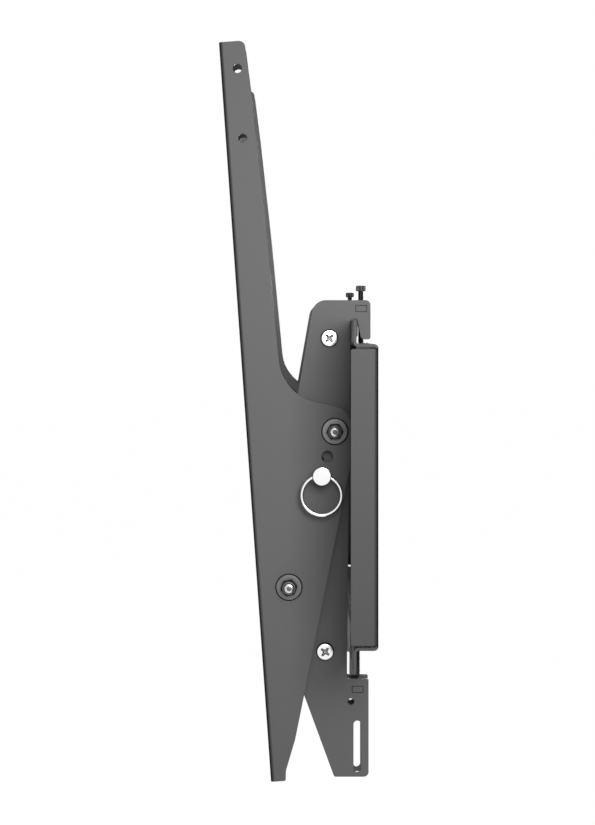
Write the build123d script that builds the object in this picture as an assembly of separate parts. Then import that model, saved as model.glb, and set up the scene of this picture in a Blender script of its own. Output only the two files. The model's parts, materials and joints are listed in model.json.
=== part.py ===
from build123d import *
import math
import os

# Tilting wall mount for a large screen: one wall rail that carries two identical tilting arms.
# Frame, in millimetres: X = 0 is the wall, the screen lies on the -X side, Y runs along the rail
# and Z points up. The origin is the middle of the rail, on the wall.

# Wall rail: one folded sheet
RAIL_LENGTH = 610.0
RAIL_HEIGHT = 258.0
RAIL_DEPTH = 21.0
RAIL_SHEET = 2.5
RAIL_BEND = 4.0
LIP_HEIGHT = 20.0
END_PANEL_DEPTH = 23.5
END_PANEL_GAP = 1.7
END_PANEL_CORNER = 2.0
CUT_EDGE_RADIUS = 0.4
WALL_SLOT_WIDTH = 9.0
WALL_SLOT_LENGTH = 50.0
WALL_SLOT_SPREAD = 406.4
WALL_SLOT_INNER_SPREAD = 132.0
WALL_SLOT_ROW_GAP = 192.0
WINDOW_LENGTH = 120.0
WINDOW_HEIGHT = 110.0
WINDOW_RADIUS = 15.0
WINDOW_SPREAD = 300.0

# Where the two arms hang along the rail
ARM_SPREAD = 400.0

# Hook bracket: two cheek plates, held apart by blocks and spacers
CHEEK_SHEET = 3.0
CHEEK_GAP = 21.0
HOOK_GAP = 0.4
HOOK_HEADROOM = 1.5
HOOK_SLOT_WIDTH = 6.0
HOOK_MOUTH_FLARE = 3.1
HOOK_SLOT_RADIUS = 1.6
FINGER_CLEARANCE = 3.3
FINGER_WALL_GAP = 3.7
FINGER_CHAMFER = 2.0
CHEEK_TOP_RISE = 18.0
CHEEK_TOP_WIDTH = 49.9
CHEEK_TOP_RADIUS = 12.5
CHEEK_EDGE_SLOPE = 0.174
CHEEK_NOSE_X = -88.0
CHEEK_NOSE_BOTTOM = -100.0
CHEEK_NOSE_RADIUS = 30.0
CHEEK_SHIN_X = -63.2
CHEEK_SHIN_Z = -179.7
CHEEK_CORNER_RADIUS = 4.4
CHEEK_SETBACK = 3.0
FOOT_GAP = 18.8
FOOT_HEIGHT = 86.3
FOOT_WALL_GAP = 5.4
FOOT_WIDTH = 30.4
SECURITY_SLOT_X = -15.4
SECURITY_SLOT_WIDTH = 6.6
SECURITY_SLOT_LENGTH = 45.8
SECURITY_SLOT_MARGIN = 3.8
SIGHT_HOLE_X = -21.0
SIGHT_HOLE_DROP = 20.0
SIGHT_HOLE_DIAMETER = 5.8

# Blocks that carry the two adjusting screws, with a tab through each cheek
TAB_LENGTH = 9.2
TAB_HEIGHT = 5.2
TAB_CLEARANCE = 0.4
BLOCK_SHOULDER = 2.0
TOP_TAB_RISE = 10.6
BOTTOM_TAB_DROP = 9.1

# Spacers between the cheeks, with a screw at each end
SPACER_DIAMETER = 12.0
SPACER_SCREW_DIAMETER = 6.0
SPACER_SCREW_REACH = 8.0
SPACER_HEAD_DIAMETER = 16.0
SPACER_HEAD_HEIGHT = 3.4
SPACER_HEAD_EDGE = 1.2
SPACER_CROWN_MIDDLE = (4.5, 2.8)
CROSS_SIZE = 7.6
CROSS_WIDTH = 1.6
CROSS_DEPTH = 1.8
UPPER_SPACER = (-40.0, 133.3)
LOWER_SPACER = (-43.8, -143.3)

# Adjusting screws
ADJUSTER_DIAMETER = 5.0
ADJUSTER_HEAD_DIAMETER = 8.5
ADJUSTER_HEAD_HEIGHT = 5.0
ADJUSTER_HEAD_EDGE = 0.5
SOCKET_SIZE = 4.0
SOCKET_DEPTH = 2.5
HEIGHT_SCREW_X = -11.9
HEIGHT_SCREW_LENGTH = 46.0
LOCK_SCREW_X = -15.1
LOCK_SCREW_OVERLAP = 8.0
LOCK_SCREW_LENGTH = 48.0

# Tilt: the arm turns about this line, which no pin fills, on two bolts in curved slots
TILT_X = -2.2
TILT_Z = -44.2
TILT_RANGE = 14.3
MID_TILT = 6.1
SLOT_END_PLAY = 0.4

# Tilting arm: one folded channel, open towards the wall. Up is from its foot, a drop is below its
# top or its lobe, and a depth is back from its front.
ARM_LENGTH = 652.6
ARM_WIDTH = 42.0
ARM_SHEET = 2.5
ARM_BEND = 3.5
ARM_LEAN = 4.03
ARM_FOOT = (-91.6, -257.1)
ARM_TOE_DEPTH = 13.0
ARM_TOE_RADIUS = 1.5
ARM_KNEE_UP = 9.2
ARM_KNEE_STEP = 1.0
ARM_KNEE_RADIUS = 4.0
ARM_CALF_UP = 36.0
ARM_CALF_STEP = 11.0
ARM_CALF_RADIUS = 10.0
ARM_BACK_DROP = 51.0
ARM_BACK_INSET = 4.1
ARM_BACK_RADIUS = 20.0
ARM_LOBE_UP = 322.0
ARM_WIDEST = 93.0
ARM_LOBE_RADIUS = 15.0
ARM_NECK_RISE = 17.1
ARM_NECK_DEPTH = 33.8
ARM_THROAT_RADIUS = 42.0
ARM_LOWER_SWEEP_DROP = 159.0
ARM_LOWER_SWEEP_DEPTH = 29.9
ARM_UPPER_SWEEP_DROP = 51.9
ARM_UPPER_SWEEP_DEPTH = 25.6
ARM_SWEEP_RADIUS = 400.0
ARM_TOP_DEPTH = 22.6
ARM_TOP_RADIUS = 5.7
SCREEN_HOLE_DIAMETER = 8.5
SCREEN_HOLE_PITCH = 50.0
SCREEN_HOLE_COUNT = 13
SCREEN_HOLE_START = 25.8
SIDE_HOLE_DIAMETER = 8.0
TOP_SIDE_HOLE_DROP = 24.1
TOP_SIDE_HOLE_DEPTH = 14.7
SECOND_SIDE_HOLE_DROP = 85.7
SECOND_SIDE_HOLE_DEPTH = 15.0
UPPER_BOLT_DROP = 18.3
UPPER_BOLT_DEPTH = 77.8
LOWER_BOLT_UP = 169.9
LOWER_BOLT_DEPTH = 27.9
LOCK_HOLE_DROP = 55.9
LOCK_HOLE_DEPTH = 63.6
SPARE_HOLE_DROP = 39.8
SPARE_HOLE_DEPTH = 69.7

# Tilt bolts, with washers, nuts and the bushes that fill the gap beside each cheek
BOLT_DIAMETER = 8.0
BOLT_CLEARANCE = 0.2
SLOT_CLEARANCE = 0.3
BOLT_HEAD_DIAMETER = 16.0
BOLT_HEAD_HEIGHT = 4.6
BOLT_HEAD_CROWN = 3.2
BOLT_SOCKET_SIZE = 5.0
BOLT_PROUD = 1.5
BOLT_CHAMFER = 0.8
NUT_ACROSS_FLATS = 13.0
NUT_HEIGHT = 8.0
NUT_HEX_HEIGHT = 5.9
NUT_COLLAR_DIAMETER = 11.8
NUT_COLLAR_RADIUS = 1.4
NUT_CORNER_DROP = 0.7
NUT_CORNER_CUT = 1.0
THREAD_CLEARANCE = 0.05
WASHER_DIAMETER = 24.0
WASHER_THICKNESS = 2.0
BUSH_DIAMETER = 18.0
BUSH_CLEARANCE = 0.2

# Lock pin and its pull ring
PIN_DIAMETER = 10.0
PIN_CLEARANCE = 0.08
PIN_STROKE = 6.8
PIN_DRAWN_GAP = 1.3
PIN_HEAD_DIAMETER = 16.8
PIN_HEAD_HEIGHT = 3.5
PIN_HEAD_CROWN = 1.2
PIN_TIP_CHAMFER = 1.0
RING_OUTER_DIAMETER = 38.0
RING_WIRE = 3.2
RING_HOLE_CLEARANCE = 0.35
RING_HEAD_GAP = 2.5
RING_FLANGE_GAP = 0.6

# Derived places
flange_z = RAIL_HEIGHT / 2
lip_tip_z = flange_z + LIP_HEIGHT
cheek_inside = CHEEK_GAP / 2
cheek_outside = cheek_inside + CHEEK_SHEET
arm_outside = ARM_WIDTH / 2
arm_inside = arm_outside - ARM_SHEET
cheek_top_z = lip_tip_z + CHEEK_TOP_RISE
slot_top_z = lip_tip_z + HOOK_HEADROOM
finger_z = flange_z + FINGER_CLEARANCE
hook_front_x = -(RAIL_DEPTH + HOOK_GAP)
foot_top_z = -(lip_tip_z + FOOT_GAP)
foot_bottom_z = foot_top_z - FOOT_HEIGHT
bolt_hole = BOLT_DIAMETER / 2 + BOLT_CLEARANCE
pin_hole = PIN_DIAMETER / 2 + PIN_CLEARANCE
ring_radius = (RING_OUTER_DIAMETER - RING_WIRE) / 2

# Places on the arm, as distances up from its foot and back from its front
side_holes = (
    (ARM_LENGTH - TOP_SIDE_HOLE_DROP, TOP_SIDE_HOLE_DEPTH),
    (ARM_LENGTH - SECOND_SIDE_HOLE_DROP, SECOND_SIDE_HOLE_DEPTH),
)
upper_bolt = (ARM_LOBE_UP - UPPER_BOLT_DROP, UPPER_BOLT_DEPTH)
lower_bolt = (LOWER_BOLT_UP, LOWER_BOLT_DEPTH)
lock_hole = (ARM_LOBE_UP - LOCK_HOLE_DROP, LOCK_HOLE_DEPTH)
spare_hole = (ARM_LOBE_UP - SPARE_HOLE_DROP, SPARE_HOLE_DEPTH)

# The two arms, by the place of their middle along the rail
unit_places = {"near": -ARM_SPREAD / 2, "far": ARM_SPREAD / 2}


def outline(corners):
    """A closed face in the X-Z plane from (x, z, radius) corners."""
    points = [(x, z) for x, z, _ in corners]
    radii = [radius for _, _, radius in corners]
    return make_face(FilletPolyline(*points, radius=radii, close=True))


def plate(face, y_low, thickness):
    """A flat plate whose outline lies in X-Z, from y_low up to y_low + thickness."""
    return extrude(Plane.XZ.offset(-(y_low + thickness)) * face, thickness)


def bar_along_y(x, z, radius, y_low, y_high):
    """A round bar along Y."""
    return Pos(x, (y_low + y_high) / 2, z) * Rot(90, 0, 0) * Cylinder(radius, y_high - y_low)


def hexagon_along_y(x, z, flats, y_low, y_high):
    """A hexagonal bar along Y with two flats that face up and down."""
    hexagon = RegularPolygon(radius=flats / 2, side_count=6, major_radius=False, rotation=30)
    return plate(Pos(x, z) * hexagon, y_low, y_high - y_low)


def arm_point(up, depth):
    """The X and Z of a point of the arm, given up its front face and back from it."""
    lean = math.radians(ARM_LEAN)
    x = ARM_FOOT[0] - up * math.sin(lean) + depth * math.cos(lean)
    z = ARM_FOOT[1] + up * math.cos(lean) + depth * math.sin(lean)
    return x, z


def tilted(point, degrees):
    """A point of the arm after the arm's top has leant out by some degrees."""
    turn = math.radians(degrees)
    x, z = point[0] - TILT_X, point[1] - TILT_Z
    return (
        TILT_X + x * math.cos(turn) - z * math.sin(turn),
        TILT_Z + x * math.sin(turn) + z * math.cos(turn),
    )


def rail_section():
    """Half of the rail's sheet, top to middle, is mirrored: a wall plate with two hooked edges."""
    inner = RAIL_BEND - RAIL_SHEET
    front = -RAIL_DEPTH
    top = [
        (0.0, flange_z, RAIL_BEND),
        (front + RAIL_SHEET, flange_z, inner),
        (front + RAIL_SHEET, lip_tip_z, CUT_EDGE_RADIUS),
        (front, lip_tip_z, CUT_EDGE_RADIUS),
        (front, flange_z - RAIL_SHEET, RAIL_BEND),
        (-RAIL_SHEET, flange_z - RAIL_SHEET, inner),
    ]
    bottom = [(x, -z, radius) for x, z, radius in reversed(top)]
    return outline(top + bottom)


def end_panel(end):
    """The wall plate's end, folded forward to close the rail; end is -1 or 1 along Y."""
    half = RAIL_LENGTH / 2
    panel_z = flange_z - RAIL_SHEET - END_PANEL_GAP
    root_y = half - 2 * RAIL_BEND
    section = [
        (0.0, root_y, 0.0),
        (0.0, half, RAIL_BEND),
        (-END_PANEL_DEPTH, half, CUT_EDGE_RADIUS),
        (-END_PANEL_DEPTH, half - RAIL_SHEET, CUT_EDGE_RADIUS),
        (-RAIL_SHEET, half - RAIL_SHEET, RAIL_BEND - RAIL_SHEET),
        (-RAIL_SHEET, root_y, 0.0),
    ]
    points = [(x, end * y) for x, y, _ in section]
    radii = [radius for _, _, radius in section]
    folded = extrude(make_face(FilletPolyline(*points, radius=radii, close=True)), panel_z, both=True)
    side = Rectangle(2 * END_PANEL_DEPTH, 2 * panel_z)
    side = fillet(side.vertices(), END_PANEL_CORNER)
    return folded & plate(side, -RAIL_LENGTH, 2 * RAIL_LENGTH)


def wall_rail():
    half = RAIL_LENGTH / 2
    body = plate(rail_section(), -half, RAIL_LENGTH)
    relief_z = flange_z - RAIL_SHEET - END_PANEL_GAP / 2
    relief = Box(2 * RAIL_BEND, 2 * RAIL_BEND, 2 * relief_z)
    for end in (-1, 1):
        body -= Pos(0, end * half, 0) * relief
        body += end_panel(end)
    cut_depth = 4 * RAIL_SHEET
    slot = Rot(0, 90, 0) * Rot(0, 0, 90) * extrude(
        SlotOverall(WALL_SLOT_LENGTH, WALL_SLOT_WIDTH), cut_depth / 2, both=True)
    window = Rot(0, 90, 0) * Rot(0, 0, 90) * extrude(
        RectangleRounded(WINDOW_LENGTH, WINDOW_HEIGHT, WINDOW_RADIUS), cut_depth / 2, both=True)
    for spread in (WALL_SLOT_SPREAD, WALL_SLOT_INNER_SPREAD):
        for y in (-spread / 2, spread / 2):
            for z in (-WALL_SLOT_ROW_GAP / 2, WALL_SLOT_ROW_GAP / 2):
                body -= Pos(0, y, z) * slot
    for y in (-WINDOW_SPREAD / 2, WINDOW_SPREAD / 2):
        body -= Pos(0, y, 0) * window
    return body


def cheek_outline():
    top_left_x = -FINGER_WALL_GAP - CHEEK_TOP_WIDTH
    nose_top_z = cheek_top_z - (top_left_x - CHEEK_NOSE_X) / CHEEK_EDGE_SLOPE
    slot_back_x = hook_front_x + HOOK_SLOT_WIDTH
    mouth_x = slot_back_x + HOOK_MOUTH_FLARE
    return outline([
        (top_left_x, cheek_top_z, CHEEK_TOP_RADIUS),
        (-FINGER_WALL_GAP, cheek_top_z, CHEEK_CORNER_RADIUS),
        (-FINGER_WALL_GAP, finger_z, CHEEK_CORNER_RADIUS / 2),
        (mouth_x + FINGER_CHAMFER, finger_z, 0.0),
        (mouth_x, finger_z + FINGER_CHAMFER, 0.0),
        (slot_back_x, slot_top_z, HOOK_SLOT_RADIUS),
        (hook_front_x, slot_top_z, HOOK_SLOT_RADIUS),
        (hook_front_x, flange_z, 0.0),
        (hook_front_x - CHEEK_SETBACK, -lip_tip_z, 0.0),
        (hook_front_x - CHEEK_SETBACK, foot_top_z, CHEEK_CORNER_RADIUS / 2),
        (-FOOT_WALL_GAP, foot_top_z, CHEEK_CORNER_RADIUS / 4),
        (-FOOT_WALL_GAP, foot_bottom_z, CHEEK_CORNER_RADIUS),
        (-FOOT_WALL_GAP - FOOT_WIDTH, foot_bottom_z, CHEEK_CORNER_RADIUS / 2),
        (CHEEK_SHIN_X, CHEEK_SHIN_Z, 0.0),
        (CHEEK_NOSE_X, CHEEK_NOSE_BOTTOM, CHEEK_NOSE_RADIUS),
        (CHEEK_NOSE_X, nose_top_z, CHEEK_NOSE_RADIUS),
    ])


def arc_slot(point, radius):
    """The curved slot that a bolt at this point of the arm sweeps as the arm tilts."""
    arm_radius = math.hypot(point[0] - TILT_X, point[1] - TILT_Z)
    play = math.degrees(SLOT_END_PLAY / arm_radius)
    start = math.degrees(math.atan2(point[1] - TILT_Z, point[0] - TILT_X)) - play
    path = CenterArc((TILT_X, TILT_Z), arm_radius, start, TILT_RANGE + 2 * play)
    return SlotArc(path, 2 * radius)


def top_tab_z():
    return lip_tip_z + TOP_TAB_RISE


def bottom_tab_z():
    return foot_top_z - BOTTOM_TAB_DROP


def cheek_face():
    face = cheek_outline()
    slot_radius = BOLT_DIAMETER / 2 + SLOT_CLEARANCE
    for place in (upper_bolt, lower_bolt):
        face -= arc_slot(arm_point(*place), slot_radius)
    tab_hole = Rectangle(TAB_LENGTH + 2 * TAB_CLEARANCE, TAB_HEIGHT + 2 * TAB_CLEARANCE)
    face -= Pos(HEIGHT_SCREW_X, top_tab_z()) * tab_hole
    face -= Pos(LOCK_SCREW_X, bottom_tab_z()) * tab_hole
    for place in (UPPER_SPACER, LOWER_SPACER):
        face -= Pos(*place) * Circle(SPACER_SCREW_DIAMETER / 2 + BOLT_CLEARANCE)
    for point, turn in (
        (arm_point(*lock_hole), 0.0),
        (arm_point(*spare_hole), MID_TILT),
        (arm_point(*lock_hole), TILT_RANGE),
    ):
        face -= Pos(*tilted(point, turn)) * Circle(pin_hole)
    face -= Pos(SIGHT_HOLE_X, foot_top_z - SIGHT_HOLE_DROP) * Circle(SIGHT_HOLE_DIAMETER / 2)
    slot_z = foot_bottom_z + SECURITY_SLOT_MARGIN + SECURITY_SLOT_LENGTH / 2
    slot = SlotOverall(SECURITY_SLOT_LENGTH, SECURITY_SLOT_WIDTH, rotation=90)
    return face - Pos(SECURITY_SLOT_X, slot_z) * slot


def cheek(y, side):
    """One cheek plate; side is -1 for the plate on the -Y side and 1 for the other."""
    y_low = y + side * cheek_inside if side > 0 else y - cheek_outside
    return plate(cheek_face(), y_low, CHEEK_SHEET)


def screw_block(x, y, z):
    """A block between the cheeks with a tab in each and a threaded hole down its middle."""
    shoulder_x = TAB_LENGTH + 2 * BLOCK_SHOULDER
    shoulder_z = TAB_HEIGHT + 2 * BLOCK_SHOULDER
    block = Box(shoulder_x, CHEEK_GAP, shoulder_z) + Box(TAB_LENGTH, 2 * cheek_outside, TAB_HEIGHT)
    block -= Cylinder(ADJUSTER_DIAMETER / 2 + THREAD_CLEARANCE, 2 * shoulder_z)
    return Pos(x, y, z) * block


def spacer(place, y):
    x, z = place
    body = bar_along_y(x, z, SPACER_DIAMETER / 2, y - cheek_inside, y + cheek_inside)
    bore = SPACER_SCREW_DIAMETER / 2 + THREAD_CLEARANCE
    return body - bar_along_y(x, z, bore, y - cheek_outside, y + cheek_outside)


def spacer_screw(place, y, side):
    """A low domed screw with a cross recess, from outside a cheek into the spacer."""
    x, z = place
    radius = SPACER_HEAD_DIAMETER / 2
    dome = Polyline((0, 0), (radius, 0), (radius, SPACER_HEAD_EDGE))
    crown = ThreePointArc(
        (radius, SPACER_HEAD_EDGE),
        SPACER_CROWN_MIDDLE,
        (0, SPACER_HEAD_HEIGHT),
    )
    axis_line = Line((0, SPACER_HEAD_HEIGHT), (0, 0))
    profile = make_face(Plane.XZ * (dome + crown + axis_line))
    head = revolve(profile, Axis.Z)
    shank_length = SPACER_SCREW_REACH + CHEEK_SHEET
    shank = Pos(0, 0, -shank_length / 2) * Cylinder(SPACER_SCREW_DIAMETER / 2, shank_length)
    cross = Box(CROSS_SIZE, CROSS_WIDTH, 2 * CROSS_DEPTH) + Box(CROSS_WIDTH, CROSS_SIZE, 2 * CROSS_DEPTH)
    screw = head + shank - Pos(0, 0, SPACER_HEAD_HEIGHT) * cross
    return Pos(x, y + side * cheek_outside, z) * Rot(-90 * side, 0, 0) * screw


def adjuster(length):
    """A socket screw along +Z from its tip at the origin to its head."""
    tip = ADJUSTER_DIAMETER / 2
    shank = Pos(0, 0, length / 2) * Cylinder(tip, length)
    shank = chamfer(shank.faces().sort_by(Axis.Z)[0].edges(), BOLT_CHAMFER)
    head = Pos(0, 0, ADJUSTER_HEAD_HEIGHT / 2) * Cylinder(ADJUSTER_HEAD_DIAMETER / 2, ADJUSTER_HEAD_HEIGHT)
    head = fillet(head.faces().sort_by(Axis.Z)[-1].edges(), ADJUSTER_HEAD_EDGE)
    socket = extrude(RegularPolygon(SOCKET_SIZE / 2, 6, major_radius=False), SOCKET_DEPTH)
    head -= Pos(0, 0, ADJUSTER_HEAD_HEIGHT - SOCKET_DEPTH) * socket
    return shank + Pos(0, 0, length) * head


def height_screw(y):
    return Pos(HEIGHT_SCREW_X, y, flange_z) * adjuster(HEIGHT_SCREW_LENGTH)


def lock_screw(y):
    tip_z = -(lip_tip_z - LOCK_SCREW_OVERLAP)
    return Pos(LOCK_SCREW_X, y, tip_z) * Rot(180, 0, 0) * adjuster(LOCK_SCREW_LENGTH)


def arm_outline():
    """The side of the arm as (x, z, radius) corners, from points up and back from its front."""
    corners = [
        (0.0, 0.0, 0.0),
        (0.0, ARM_TOE_DEPTH, ARM_TOE_RADIUS),
        (ARM_KNEE_UP, ARM_TOE_DEPTH + ARM_KNEE_STEP, ARM_KNEE_RADIUS),
        (ARM_CALF_UP, ARM_TOE_DEPTH + ARM_CALF_STEP, ARM_CALF_RADIUS),
        (ARM_LOBE_UP - ARM_BACK_DROP, ARM_WIDEST - ARM_BACK_INSET, ARM_BACK_RADIUS),
        (ARM_LOBE_UP, ARM_WIDEST, ARM_LOBE_RADIUS),
        (ARM_LOBE_UP + ARM_NECK_RISE, ARM_NECK_DEPTH, ARM_THROAT_RADIUS),
        (ARM_LENGTH - ARM_LOWER_SWEEP_DROP, ARM_LOWER_SWEEP_DEPTH, ARM_SWEEP_RADIUS),
        (ARM_LENGTH - ARM_UPPER_SWEEP_DROP, ARM_UPPER_SWEEP_DEPTH, ARM_SWEEP_RADIUS),
        (ARM_LENGTH, ARM_TOP_DEPTH, ARM_TOP_RADIUS),
        (ARM_LENGTH, 0.0, 0.0),
    ]
    return [(depth, up, radius) for up, depth, radius in corners]


def arm_channel(y):
    body = plate(outline(arm_outline()), -arm_outside, ARM_WIDTH)
    front_edges = [edge for edge in body.edges().filter_by(Axis.Z)
                   if abs(edge.center().X) < ARM_SHEET / 2]
    body = fillet(front_edges, ARM_BEND)
    reach = ARM_WIDEST + ARM_SHEET
    hollow = Pos(ARM_SHEET + reach / 2, 0, ARM_LENGTH / 2) * Box(reach, 2 * arm_inside, 2 * ARM_LENGTH)
    hollow_edges = [edge for edge in hollow.edges().filter_by(Axis.Z)
                    if edge.center().X < 2 * ARM_SHEET]
    body -= fillet(hollow_edges, ARM_BEND - ARM_SHEET)
    for index in range(SCREEN_HOLE_COUNT):
        up = SCREEN_HOLE_START + index * SCREEN_HOLE_PITCH
        body -= Pos(0, 0, up) * Rot(0, 90, 0) * Cylinder(SCREEN_HOLE_DIAMETER / 2, 4 * ARM_SHEET)
    for up, depth in side_holes:
        body -= bar_along_y(depth, up, SIDE_HOLE_DIAMETER / 2, -ARM_WIDTH, ARM_WIDTH)
    for up, depth in (upper_bolt, lower_bolt):
        body -= bar_along_y(depth, up, bolt_hole, -ARM_WIDTH, ARM_WIDTH)
    for up, depth in (lock_hole, spare_hole):
        body -= bar_along_y(depth, up, pin_hole, -ARM_WIDTH, 0)
    return Pos(ARM_FOOT[0], y, ARM_FOOT[1]) * Rot(0, -ARM_LEAN, 0) * body


def tilt_bolt(place, y):
    """A domed bolt whose head lies on the +Y side and whose thread ends past the nut."""
    x, z = arm_point(*place)
    head_y = y + arm_outside + WASHER_THICKNESS
    end_y = y - arm_outside - WASHER_THICKNESS - NUT_HEIGHT - BOLT_PROUD
    shank = bar_along_y(x, z, BOLT_DIAMETER / 2, end_y, head_y)
    shank = chamfer(shank.faces().sort_by(Axis.Y)[0].edges(), BOLT_CHAMFER)
    head = bar_along_y(x, z, BOLT_HEAD_DIAMETER / 2, head_y, head_y + BOLT_HEAD_HEIGHT)
    head = fillet(head.faces().sort_by(Axis.Y)[-1].edges(), BOLT_HEAD_CROWN)
    socket_y = head_y + BOLT_HEAD_HEIGHT - SOCKET_DEPTH
    socket = hexagon_along_y(x, z, BOLT_SOCKET_SIZE, socket_y, head_y + 2 * BOLT_HEAD_HEIGHT)
    return shank + (head - socket)


def nut(place, y):
    """A locking nut: a hexagon with a round collar that holds its nylon ring."""
    x, z = arm_point(*place)
    seat_y = y - arm_outside - WASHER_THICKNESS
    shoulder_y = seat_y - NUT_HEX_HEIGHT
    body = hexagon_along_y(x, z, NUT_ACROSS_FLATS, shoulder_y, seat_y)
    cone = bar_along_y(x, z, NUT_ACROSS_FLATS / math.sqrt(3), shoulder_y, seat_y)
    cone = chamfer(cone.faces().sort_by(Axis.Y)[0].edges(), NUT_CORNER_DROP, NUT_CORNER_CUT)
    collar = bar_along_y(x, z, NUT_COLLAR_DIAMETER / 2, seat_y - NUT_HEIGHT, seat_y)
    collar = fillet(collar.faces().sort_by(Axis.Y)[0].edges(), NUT_COLLAR_RADIUS)
    bore = BOLT_DIAMETER / 2 + THREAD_CLEARANCE
    return (body & cone) + collar - bar_along_y(x, z, bore, seat_y - 2 * NUT_HEIGHT, seat_y + 1)


def disc(place, radius, y_low, y_high):
    """A flat ring round a tilt bolt."""
    x, z = arm_point(*place)
    body = bar_along_y(x, z, radius, y_low, y_high)
    return body - bar_along_y(x, z, bolt_hole, y_low - 1, y_high + 1)


def washers(place, y):
    radius = WASHER_DIAMETER / 2
    near_y = y - arm_outside
    far_y = y + arm_outside
    return [
        disc(place, radius, near_y - WASHER_THICKNESS, near_y),
        disc(place, radius, far_y, far_y + WASHER_THICKNESS),
    ]


def bushes(place, y):
    thickness = arm_inside - cheek_outside - BUSH_CLEARANCE
    return [
        disc(place, BUSH_DIAMETER / 2, y - arm_inside, y - arm_inside + thickness),
        disc(place, BUSH_DIAMETER / 2, y + arm_inside - thickness, y + arm_inside),
    ]


def pin_tip_y(y):
    """The tip of the pin at rest: drawn back out of the cheek, still in the arm's side."""
    return y - cheek_outside - PIN_DRAWN_GAP


def pin_seat_y(y):
    """The back of the pin's head, at rest."""
    behind_head = RING_WIRE + RING_HEAD_GAP + RING_FLANGE_GAP
    return y - arm_outside - PIN_STROKE - behind_head


def ring_axis_y(y):
    return pin_seat_y(y) + RING_HEAD_GAP + RING_WIRE / 2


def ring_hole():
    """The radius of the cross hole that lets the curved wire pass the shank."""
    half_chord = PIN_DIAMETER / 2
    sagitta = ring_radius - math.sqrt(ring_radius ** 2 - half_chord ** 2)
    return (RING_WIRE + sagitta) / 2 + RING_HOLE_CLEARANCE


def lock_pin(y):
    x, z = arm_point(*lock_hole)
    tip_y = pin_tip_y(y)
    seat_y = pin_seat_y(y)
    shank = bar_along_y(x, z, PIN_DIAMETER / 2, seat_y, tip_y)
    shank = chamfer(shank.faces().sort_by(Axis.Y)[-1].edges(), PIN_TIP_CHAMFER)
    head = bar_along_y(x, z, PIN_HEAD_DIAMETER / 2, seat_y - PIN_HEAD_HEIGHT, seat_y)
    head = fillet(head.faces().sort_by(Axis.Y)[0].edges(), PIN_HEAD_CROWN)
    hole = Pos(x, ring_axis_y(y), z) * Rot(0, 90, 0) * Cylinder(ring_hole(), 2 * PIN_DIAMETER)
    return shank + head - hole


def ring_top_z():
    """The height of the wire's centre at the top of the ring, where it rests in its hole."""
    return arm_point(*lock_hole)[1] + ring_hole() - RING_WIRE / 2 - RING_HOLE_CLEARANCE


def pull_ring(y):
    x = arm_point(*lock_hole)[0]
    z = ring_top_z() - ring_radius
    return Pos(x, ring_axis_y(y), z) * Rot(90, 0, 0) * Torus(ring_radius, RING_WIRE / 2)


def check_solid_count(name, shape):
    print(f"{name:28s} solids {len(shape.solids()):2d}  volume {shape.volume / 1000:9.3f} cm3")


def write(name, pieces):
    shape = Compound(children=pieces) if isinstance(pieces, list) else pieces
    check_solid_count(name, shape)
    export_step(shape, f"parts/{name}.step")


def write_unit(unit, y):
    """Every piece of one arm and of the bracket that carries it."""
    bolt_places = (upper_bolt, lower_bolt)
    spacer_places = (UPPER_SPACER, LOWER_SPACER)
    write(f"{unit}_arm", arm_channel(y))
    write(f"{unit}_left_cheek", cheek(y, -1))
    write(f"{unit}_right_cheek", cheek(y, 1))
    write(f"{unit}_top_block", screw_block(HEIGHT_SCREW_X, y, top_tab_z()))
    write(f"{unit}_bottom_block", screw_block(LOCK_SCREW_X, y, bottom_tab_z()))
    write(f"{unit}_upper_spacer", spacer(UPPER_SPACER, y))
    write(f"{unit}_lower_spacer", spacer(LOWER_SPACER, y))
    write(f"{unit}_spacer_screws",
          [spacer_screw(place, y, side) for place in spacer_places for side in (-1, 1)])
    write(f"{unit}_height_screw", height_screw(y))
    write(f"{unit}_lock_screw", lock_screw(y))
    write(f"{unit}_upper_bolt", tilt_bolt(upper_bolt, y))
    write(f"{unit}_lower_bolt", tilt_bolt(lower_bolt, y))
    write(f"{unit}_nuts", [nut(place, y) for place in bolt_places])
    write(f"{unit}_washers", [piece for place in bolt_places for piece in washers(place, y)])
    write(f"{unit}_bushes", [piece for place in bolt_places for piece in bushes(place, y)])
    write(f"{unit}_lock_pin", lock_pin(y))
    write(f"{unit}_pull_ring", pull_ring(y))


os.makedirs("parts", exist_ok=True)
write("wall_rail", wall_rail())
for unit, y in unit_places.items():
    write_unit(unit, y)
print("upper bolt", arm_point(*upper_bolt))
print("lower bolt", arm_point(*lower_bolt))
print("lock pin", arm_point(*lock_hole), "ring axis", ring_axis_y(0.0), ring_top_z())
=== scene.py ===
# %% [markdown]
# # A tilting wall mount for a large screen
#
# The real object is folded and laser-cut steel with a charcoal powder coat, held together by plated
# fasteners. Its solids come ready made, at their true size and in their true place, so this lesson is
# about what makes them look real: the coat's fine orange peel with painted shade in its folds and along
# its edges, rolled threads, knurled screw heads, punched washers and polished pins.

# %% Load the solids
import json
import math
import bpy
import bmesh
from mathutils import Matrix, Vector


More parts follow.
